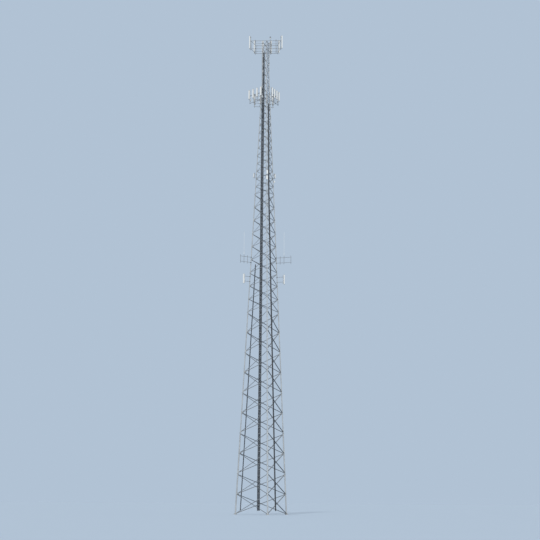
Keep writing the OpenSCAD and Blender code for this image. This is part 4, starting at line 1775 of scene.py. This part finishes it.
@dataclass(frozen=True)
class PanelTrim:
    """End caps, connectors and bracket bolts of the panel antennas."""

    gap: float = 0.034
    cap_h: float = 0.022
    lip: float = 0.0012
    chamfer: float = 0.93
    corner: float = 0.3
    port_r: float = 0.0070
    port_edge: float = 0.015
    rod_r: float = 0.0032
    rod_over: float = 0.020
    rod_aside: float = 0.010
    nut: Pair = (1.9, 0.005)
    near_nut: float = 0.004
    far_nut: float = 0.031
    bar: Triple = (0.005, 0.066, 0.024)
    bar_out: float = 0.0085
    pin_share: float = 0.72
    pin_aside: float = 0.015
    hinge_plate: Triple = (0.004, 0.056, 0.034)
    bracket_share: float = 0.38

    def outline(self, depth: float, width: float, steps: int = 6) -> list[Pair]:
        """Plans a cap as a rounded rectangle.

        Args:
            depth: size along x.
            width: size along y.
            steps: number of steps in each corner.

        Returns:
            The rectangle's points.
        """
        radius = depth * self.corner
        points = []
        for k, (sx, sy) in enumerate(((1, 1), (-1, 1), (-1, -1), (1, -1))):
            for n in range(steps + 1):
                angle = math.radians(90 * (k + n / steps))
                points.append((sx * (depth / 2 - radius) + radius * math.cos(angle),
                               sy * (width / 2 - radius) + radius * math.sin(angle)))
        return points

    def cap(self, shape: Shape, depth: float, width: float, place: Matrix) -> None:
        """Adds an end cap with a chamfered rim, standing on z = 0 of a frame.

        Args:
            shape: the mesh to add to.
            depth: depth of the panel.
            width: width of the panel.
            place: frame of the cap's foot.
        """
        cap = bmesh.new()
        plan = self.outline(depth + 2 * self.lip, width + 2 * self.lip)
        verts = [cap.verts.new((x, y, 0)) for x, y in plan]
        top = [cap.faces.new(verts)]
        for rise, shrink in ((self.cap_h, 1.0), (self.lip * 2, self.chamfer)):
            grown = bmesh.ops.extrude_face_region(cap, geom=[*top, *top[0].edges])
            fresh = [v for v in grown["geom"] if isinstance(v, bmesh.types.BMVert)]
            top = [f for f in grown["geom"] if isinstance(f, bmesh.types.BMFace)]
            bmesh.ops.translate(cap, verts=fresh, vec=(0, 0, rise))
            bmesh.ops.scale(cap, verts=fresh, vec=(shrink, shrink, 1))
        bmesh.ops.recalc_face_normals(cap, faces=cap.faces)
        Stamp(cap).put_once(shape, place)

    def caps(self, spots: Sequence[PanelSpot]) -> None:
        """Builds the end caps of all panels as one piece.

        Args:
            spots: the panels.
        """
        shape = bmesh.new()
        for spot in spots:
            depth, width, length = spot.size
            middle = spot.place @ move(spot.pipe_d / 2 + self.gap + depth / 2, 0, 0)
            edge = length / 2 - self.cap_h + self.lip
            self.cap(shape, depth, width, middle @ lift(edge))
            self.cap(shape, depth, width, middle @ lift(-edge) @ turn(180, "X"))
        finish_piece("panel_end_caps", shape, CAP_GREY)

    def ports(self, spots: Sequence[PanelSpot]) -> None:
        """Builds the connectors under all panels as one piece.

        Args:
            spots: the panels.
        """
        shape = bmesh.new()
        for spot in spots:
            depth, width, length = spot.size
            middle = spot.place @ move(spot.pipe_d / 2 + self.gap + depth / 2, 0, 0)
            foot = middle @ lift(-length / 2) @ turn(180, "X")
            for across in spread(spot.ports, width - 2 * self.port_edge):
                here = foot @ move(0, across, 0)
                add_prism(shape, self.port_r * 1.25, 0.005, 6, here)
                add_prism(shape, self.port_r, 0.016, 12, here)
                add_prism(shape, self.port_r * 0.8, 0.020, 12, here)
        finish_piece("panel_ports", shape, STAINLESS)

    def brackets(self, spots: Sequence[PanelSpot]) -> None:
        """Builds the rods, plates and hinge bolts of all brackets as one piece.

        Args:
            spots: the panels.
        """
        shape = bmesh.new()
        hinge = BoltMaker(0.006).head(0.030)
        nut_r, nut_h = self.nut
        for spot in spots:
            radius = spot.pipe_d / 2
            for k in (-1, 1):
                here = spot.place @ lift(k * spot.size[2] * self.bracket_share)
                for x in (-radius - self.bar_out, radius + self.bar_out):
                    add_block(shape, self.bar, here @ move(x, 0, 0))
                for y in (-1, 1):
                    start = move(-radius - self.rod_over, y * (radius + self.rod_aside), 0)
                    rod = here @ start @ turn(90, "Y")
                    add_prism(shape, self.rod_r, 2 * (radius + self.rod_over), 8, rod)
                    for z in (self.near_nut, 2 * radius + self.far_nut):
                        add_prism(shape, self.rod_r * nut_r, nut_h, 6, rod @ lift(z))
                pin = move(radius + self.gap * self.pin_share, self.pin_aside, 0) @ turn(-90, "X")
                hinge.put(shape, here @ pin)
                plate = here @ move(radius + self.gap - self.hinge_plate[0] / 2, 0, 0)
                add_block(shape, self.hinge_plate, plate)
        hinge.discard()
        finish_piece("panel_brackets", shape, SHADED_MOUNT_ZINC)

    def build(self) -> None:
        """Builds the trim of every panel."""
        spots = [*TOP_RING.panels(), *SECOND_ARRAY.panels(), *LOWER_MOUNTS.panels()]
        self.caps(spots)
        self.ports(spots)
        self.brackets(spots)


@dataclass(frozen=True)
class RadioUnits:
    """Finned radio units behind the outer masts of the second array."""

    size: Triple = (0.040, 0.110, 0.170)
    gap: float = 0.012
    edge_r: float = 0.004
    fins: int = 13
    fin: Pair = (0.020, 0.0022)
    fin_edge: float = 0.006
    fin_share: Pair = (0.88, 0.94)
    handle: Pair = (0.0038, 0.066)
    stem: Pair = (0.003, 0.018)
    stem_out: float = 0.030
    stem_sunk: float = 0.002
    band: Triple = (0.0002, 0.006, 0.030)
    bridge: Pair = (0.030, 0.010)
    bridge_z: float = 0.018
    ports: int = 4
    port_share: float = 0.6
    port: Pair = (0.0065, 0.018)
    port_nut: Pair = (0.0085, 0.005)
    lug: Triple = (0.022, 0.010, 0.050)
    lug_out: float = 0.010
    bolt_z: float = 0.014
    pipe_d: float = 0.030

    def unit(self) -> Stamp:
        """Makes a unit whose frame lies on its mast's centre line, at mid-height.

        Returns:
            The unit.
        """
        shape = bmesh.new()
        depth, width, height = self.size
        near = -self.pipe_d / 2 - self.gap
        middle = near - depth / 2
        add_rounded(shape, self.size, move(middle, 0, 0), self.edge_r, 2)
        long, thin = self.fin
        for k, across in enumerate(spread(self.fins, width - 2 * self.fin_edge)):
            tall = height * self.fin_share[1 if k % 3 else 0]
            add_block(shape, (long, thin, tall), move(near - depth - long / 2 + 0.001, across, 0))
        stem_z = height / 2 - self.stem_sunk
        for k in (-1, 1):
            add_prism(shape, *self.stem, 8, move(middle, k * self.stem_out, stem_z))
        grip = move(middle, -self.handle[1] / 2, stem_z + self.stem[1])
        add_prism(shape, *self.handle, 8, grip @ turn(-90, "X"))
        pipe_r = self.pipe_d / 2
        snug, band_t, band_half = self.band
        add_band(shape, pipe_r + snug, pipe_r + band_t, band_half, Matrix.Identity(4))
        for z in (-self.bridge_z, self.bridge_z):
            add_block(shape, (self.gap, *self.bridge), move(near + self.gap / 2 - 0.004, 0, z))
        for k in (-1, 1):
            add_block(shape, self.lug, move(0, k * (pipe_r + self.lug_out), 0))
        return Stamp(shape)

    def build(self) -> None:
        """Builds the units and their connectors as two pieces."""
        units, ports = bmesh.new(), bmesh.new()
        unit = self.unit()
        depth, width, height = self.size
        bolt = BoltMaker(0.006).head(self.lug[0])
        for mast in SECOND_ARRAY.masts(outer_only=True):
            here = mast.place @ lift(SECOND_ARRAY.radio_z)
            unit.put(units, here)
            foot = here @ move(-self.pipe_d / 2 - self.gap - depth / 2, 0, -height / 2) @ turn(180, "X")
            for across in spread(self.ports, width * self.port_share):
                port = foot @ move(0, across, 0)
                add_prism(ports, *self.port_nut, 6, port)
                add_prism(ports, *self.port, 12, port)
            for k in (-1, 1):
                for z in (-self.bolt_z, self.bolt_z):
                    spot = here @ move(self.lug[0] / 2, k * (self.pipe_d / 2 + self.lug_out), z)
                    bolt.put(ports, spot @ turn(90, "Y"))
        unit.discard()
        bolt.discard()
        finish_piece("radio_units", units, RADIO_GREY, ("second_array_radio_units",))
        finish_piece("radio_ports", ports, STAINLESS)


@dataclass(frozen=True)
class LegUnits:
    """Small sealed units that bands hold on the front and right legs, under the third level."""

    reach: float = 0.078
    front_z: float = 25.480
    right_z: float = 25.445
    front_size: Triple = (0.060, 0.120, 0.310)
    right_size: Triple = (0.070, 0.120, 0.150)
    front_bands: tuple[float, ...] = (-0.090, 0.030)
    right_bands: tuple[float, ...] = (0.035,)
    edge_r: float = 0.009
    cover: Triple = (0.004, 0.026, 0.030)
    band: Triple = (0.0002, 0.003, 0.010)
    bridge: Pair = (0.004, 0.024)
    bridge_out: float = 0.018
    back: Triple = (0.004, 0.050, 0.030)
    bolt: Pair = (0.003, 0.052)
    bolt_out: float = 0.012

    def unit(self, shape: Shape, size: Triple, place: Matrix) -> None:
        """Adds a unit with rounded edges and a raised cover.

        Args:
            shape: the mesh to add to.
            size: depth, width and height.
            place: frame of the unit's middle, whose x looks out.
        """
        depth, width, height = size
        add_rounded(shape, size, place, self.edge_r, 3)
        thick, less_wide, less_high = self.cover
        cover = (thick, width - less_wide, height - less_high)
        add_block(shape, cover, place @ move(depth / 2 + thick / 4, 0, 0))

    def bracket(self, shape: Shape, pipe_r: float, place: Matrix) -> None:
        """Adds a band round the leg's pipe with a bridge to the unit's back.

        Args:
            shape: the mesh to add to.
            pipe_r: radius of the leg's pipe.
            place: frame of the band's middle.
        """
        snug, band_t, band_half = self.band
        add_band(shape, pipe_r + snug, pipe_r + band_t, band_half, place)
        for k in (-1, 1):
            bridge = place @ move((self.reach + pipe_r) / 2, k * self.bridge_out, 0)
            add_block(shape, (self.reach - pipe_r, *self.bridge), bridge)
        add_block(shape, self.back, place @ move(self.reach - self.back[0] / 2, 0, 0))
        bolt = move(pipe_r + self.bolt_out, self.bolt[1] / 2, 0) @ turn(90, "X")
        add_prism(shape, *self.bolt, 8, place @ bolt)

    def build(self) -> None:
        """Builds the units and their brackets as two pieces."""
        units, brackets = bmesh.new(), bmesh.new()
        for leg, z, size, ups in ((Leg.FRONT, self.front_z, self.front_size, self.front_bands),
                                  (Leg.RIGHT, self.right_z, self.right_size, self.right_bands)):
            section = PLAN.section_at(z)
            here = PLAN.at_leg(leg, z, PLAN.leg_lean(section))
            self.unit(units, size, here @ move(self.reach + size[0] / 2, 0, 0))
            for up in ups:
                self.bracket(brackets, PLAN.leg_od(section) / 2, here @ lift(up))
        finish_piece("leg_units", units, RADOME)
        finish_piece("leg_unit_brackets", brackets, STAINLESS)


@dataclass(frozen=True)
class WhipTrim:
    """Metal ferrules, collars and tips of the whip antennas."""

    foot_h: float = 0.260
    height: float = 1.820

    def build(self) -> None:
        """Builds the trim of both whips as one piece."""
        shape = bmesh.new()
        ferrule = [(0, 0), (0.020, 0), (0.020, 0.008), (0.0145, 0.012), (0.0145, 0.060), (0.0125, 0.064),
                   (0, 0.064)]
        collar = [(0, 0), (0.0132, 0), (0.0132, 0.014), (0.008, 0.024), (0, 0.024)]
        tip = [(0, 0), (0.0079, 0), (0.0079, 0.018), (0.005, 0.024), (0, 0.025)]
        for foot in LOWER_MOUNTS.whips():
            for profile, z in ((ferrule, 0.0), (collar, self.foot_h - 0.012), (tip, self.height - 0.019)):
                add_turned(shape, profile, foot @ lift(z))
        finish_piece("whip_trim", shape, STAINLESS)


@dataclass(frozen=True)
class WeldBeads:
    """Fillet welds where the legs' pipes meet their flanges and base plates."""

    throat: float = 0.005
    base_t: float = 0.020

    def build(self) -> None:
        """Builds all welds as one piece."""
        shape = bmesh.new()
        for leg in Leg:
            for section in range(PLAN.sections):
                radius = PLAN.leg_od(section) / 2
                lean = PLAN.leg_lean(section)
                low = PLAN.at_leg(leg, section * PLAN.section_h, lean)
                length = PLAN.section_h / math.cos(math.radians(lean))
                plate = PLAN.flange_t + PLAN.seat / 2 if section else self.base_t
                self.bead(shape, radius, low @ lift(plate))
                if section < PLAN.sections - 1:
                    self.bead(shape, radius, low @ lift(length - PLAN.flange_t) @ turn(180, "X"))
        finish_piece("weld_beads", shape, LEG_ZINC)

    def bead(self, shape: Shape, radius: float, place: Matrix) -> None:
        """Adds one weld round a pipe.

        Args:
            shape: the mesh to add to.
            radius: radius of the pipe.
            place: frame whose z = 0 the pipe stands on.
        """
        size = self.throat
        profile = [(radius - 0.001, -0.001), (radius + size, -0.001), (radius + size * 0.45, size * 0.45),
                   (radius - 0.001, size)]
        add_turned(shape, profile, place, steps=28, closed=True)


@dataclass(frozen=True)
class ArmWelds:
    """Fillet welds where the side arms pass through their posts."""

    arm_r: float = 0.0125
    post_r: float = 0.015
    size: float = 0.004
    steps: int = 20

    def saddle(self, shape: Shape, aside: float, place: Matrix) -> None:
        """Adds one weld round a pipe along x of a frame, on an upright pipe beside its origin.

        Args:
            shape: the mesh to add to.
            aside: distance of the arm's axis from the post's, along the frame's y.
            place: frame on the arm's axis, whose x leads away from the post.
        """
        throat = [(self.arm_r - 0.001, -0.002), (self.arm_r - 0.0002, self.size),
                  (self.arm_r + self.size, -0.0005)]
        weld = turned_shape(throat, self.steps, closed=True)
        edge = self.post_r * 0.98
        for vert in weld.verts:
            rise, along, off = vert.co
            y = min(max(along, -edge - aside), edge - aside)
            vert.co = (math.sqrt(self.post_r ** 2 - (y + aside) ** 2) + off, y, rise)
        bmesh.ops.reverse_faces(weld, faces=weld.faces)
        Stamp(weld).put_once(shape, place)

    def build(self) -> None:
        """Builds the welds of every side arm as one piece."""
        shape = bmesh.new()
        for leg, z, up, length, post in LOWER_MOUNTS.crossings():
            start = LOWER_MOUNTS.beside(leg, z + up, 0.05).translation
            end = (LOWER_MOUNTS.beside(leg, z, length) @ lift(up)).translation
            along = (end - start).normalized()
            across = Vector((0, 0, 1)).cross(along)
            centre = (LOWER_MOUNTS.beside(leg, z, post) @ lift(up)).translation
            near = start + along * (centre - start).dot(along)
            place = Matrix((along, across, (0, 0, 1))).transposed().to_4x4()
            place.translation = near
            aside = (near - centre).dot(across)
            self.saddle(shape, aside, place)
            self.saddle(shape, -aside, place @ turn(180, "Z"))
        finish_piece("side_arm_welds", shape, SHADED_MOUNT_ZINC)


@dataclass(frozen=True)
class PipePlugs:
    """Black plugs in the open ends of the mount pipes."""

    wall: float = 0.003
    rise: float = 0.0025
    sunk: float = 0.0005
    taper: float = 0.86

    def build(self) -> None:
        """Builds the plugs of all upright mount pipes as one piece."""
        shape = bmesh.new()
        ends = (*TOP_RING.pipe_ends(), *SECOND_ARRAY.pipe_ends(), *LOWER_MOUNTS.post_ends())
        for pipe_d, places in ((0.030, ends), (LOWER_MOUNTS.third_pipe_d, LOWER_MOUNTS.third_ends())):
            radius = pipe_d / 2 - self.wall
            for place in places:
                add_prism(shape, radius, self.rise, 16, place @ lift(-self.sunk), radius * self.taper)
        finish_piece("pipe_plugs", shape, BLACK_CAP)


@dataclass(frozen=True)
class Beacon:
    """Obstruction lamp on its pole beside the right leg: base, clear ribbed lens and dark hood."""

    pole_top: float = 36.790
    pole_out: float = 0.095
    base_r: float = 0.030
    lens_r: float = 0.052
    lens_z: float = 0.068
    ribs: int = 6
    hood_r: float = 0.062
    hood_z: float = 0.140
    hood_top: float = 0.2135
    steps: int = 40

    def piece(self, name: str, profile: Sequence[Pair], finish: Finish,
              replaced: Sequence[str] = ()) -> None:
        """Builds a turned piece on the pole's top.

        Args:
            name: name of the piece.
            profile: points of radius and height, from the axis to the axis.
            finish: its surface finish.
            replaced: CAD nodes that the piece stands for.
        """
        shape = turned_shape(profile, self.steps)
        sharpen(shape)
        spot = PLAN.at_leg(Leg.RIGHT, self.pole_top, 0) @ move(self.pole_out, 0, PLAN.seat)
        bmesh.ops.transform(shape, matrix=spot, verts=shape.verts)
        finish_piece(name, shape, finish, replaced)

    def build(self) -> None:
        """Builds the lamp's three pieces."""
        lens_r, hood_r, foot = self.lens_r, self.hood_r, self.lens_z
        low, top = self.hood_z, self.hood_top
        base = [(0, 0), (self.base_r, 0), (self.base_r, 0.010), (0.016, 0.014), (0.015, 0.040),
                (0.034, 0.050), (lens_r, 0.056), (lens_r, foot), (0, foot)]
        step = (low - foot) / self.ribs
        lens = [(0.0, foot)]
        for k in range(self.ribs):
            swell = math.sin(math.pi * (k + 0.5) / self.ribs) * 0.003
            rib_z = foot + k * step
            lens += [(lens_r - 0.006, rib_z), (lens_r - 0.004 + swell, rib_z + step * 0.5)]
        lens += [(lens_r - 0.006, low), (0.0, low)]
        hood = [(0, low), (lens_r, low), (hood_r, low + 0.004), (hood_r, low + 0.020),
                (lens_r, low + 0.024), (lens_r, top - 0.024), (0.045, top - 0.012),
                (0.026, top - 0.003), (0, top)]
        self.piece("beacon_base", base, RADIO_GREY)
        self.piece("beacon_lens", lens, BEACON_CLEAR, ("beacon",))
        self.piece("beacon_hood", hood, BEACON_DARK)


CAD_FINISHES: dict[str, Finish] = {
    "leg_steel": LEG_ZINC,
    "brace_steel": SHADED_BRACE_ZINC,
    "ladder_steel": LADDER_ZINC,
    "mount_steel": SHADED_MOUNT_ZINC,
    "feedline_jacket": JACKET,
    "radome": RADOME,
    "radio_housing": RADIO_GREY,
    "beacon_lens": BEACON_CLEAR,
}


def dress_nodes() -> None:
    """Gives every CAD node the finish of its material slot."""
    for part in frame["record"]["subparts"]:
        mesh = frame["nodes"][part["node"]].data
        mesh.materials.clear()
        mesh.materials.append(CAD_FINISHES[part["material_slot"]].material())
        log.info("%s dressed as %s", part["node"], part["material_slot"])


@dataclass(frozen=True)
class Feedlines:
    """Places of the three feedline runs, of which two change at a joint of the tower."""

    foot: float = 0.450
    side_foot: float = 0.300
    joint_gap: float = 0.008
    bend: int = 8
    below: float = 0.150
    over: float = 0.060
    back_aside: float = 0.185
    right_aside: float = -0.520
    side_inset: float = 0.375
    back_top: float = 2.107
    right_top: float = 31.41
    side_top: float = 18.96

    def build(self) -> None:
        """Builds the fittings of every run."""
        lean = math.cos(math.radians(PLAN.face_lean(0)))
        slope = PLAN.taper / 2 * lean
        bend, taper_s, gap = self.bend * PLAN.section_h / lean, PLAN.taper_h / lean, self.joint_gap
        FeedlineRun("back", Side.BACK, self.foot, taper_s - gap, self.back_aside,
                    below=self.below).build()
        FeedlineRun("back_top", Side.BACK, 0.0, self.back_top, self.back_aside,
                    section=PLAN.straight_from, over=self.over, top_margin=0.0).build()
        FeedlineRun("right", Side.RIGHT, self.foot, bend - gap, self.right_aside,
                    below=self.below).build()
        FeedlineRun("right_upper", Side.RIGHT, bend + gap, self.right_top / lean,
                    self.right_aside - slope * bend, slope, over=self.over).build()
        SideRun("side", Side.BACK, self.side_foot, self.side_top / lean,
                PLAN.base_face / 2 - self.side_inset, -slope, lines=3).build()


def main() -> None:
    """Builds the stage, then every added piece of the tower."""
    Stage().build()
    dress_nodes()
    braces = [BraceBolts(side) for side in Side]
    for part in (FlangeBolts(), *braces, AnchorBolts(), StepBolts(), Feedlines(), WeldBeads(),
                 CrossClamps(), ClampBolts(), PanelTrim(), RadioUnits(), LegUnits(), WhipTrim(),
                 ArmWelds(), PipePlugs(), Beacon()):
        part.build()


if __name__ == "__main__":
    logging.basicConfig(level=logging.INFO, format="%(message)s")
    main()
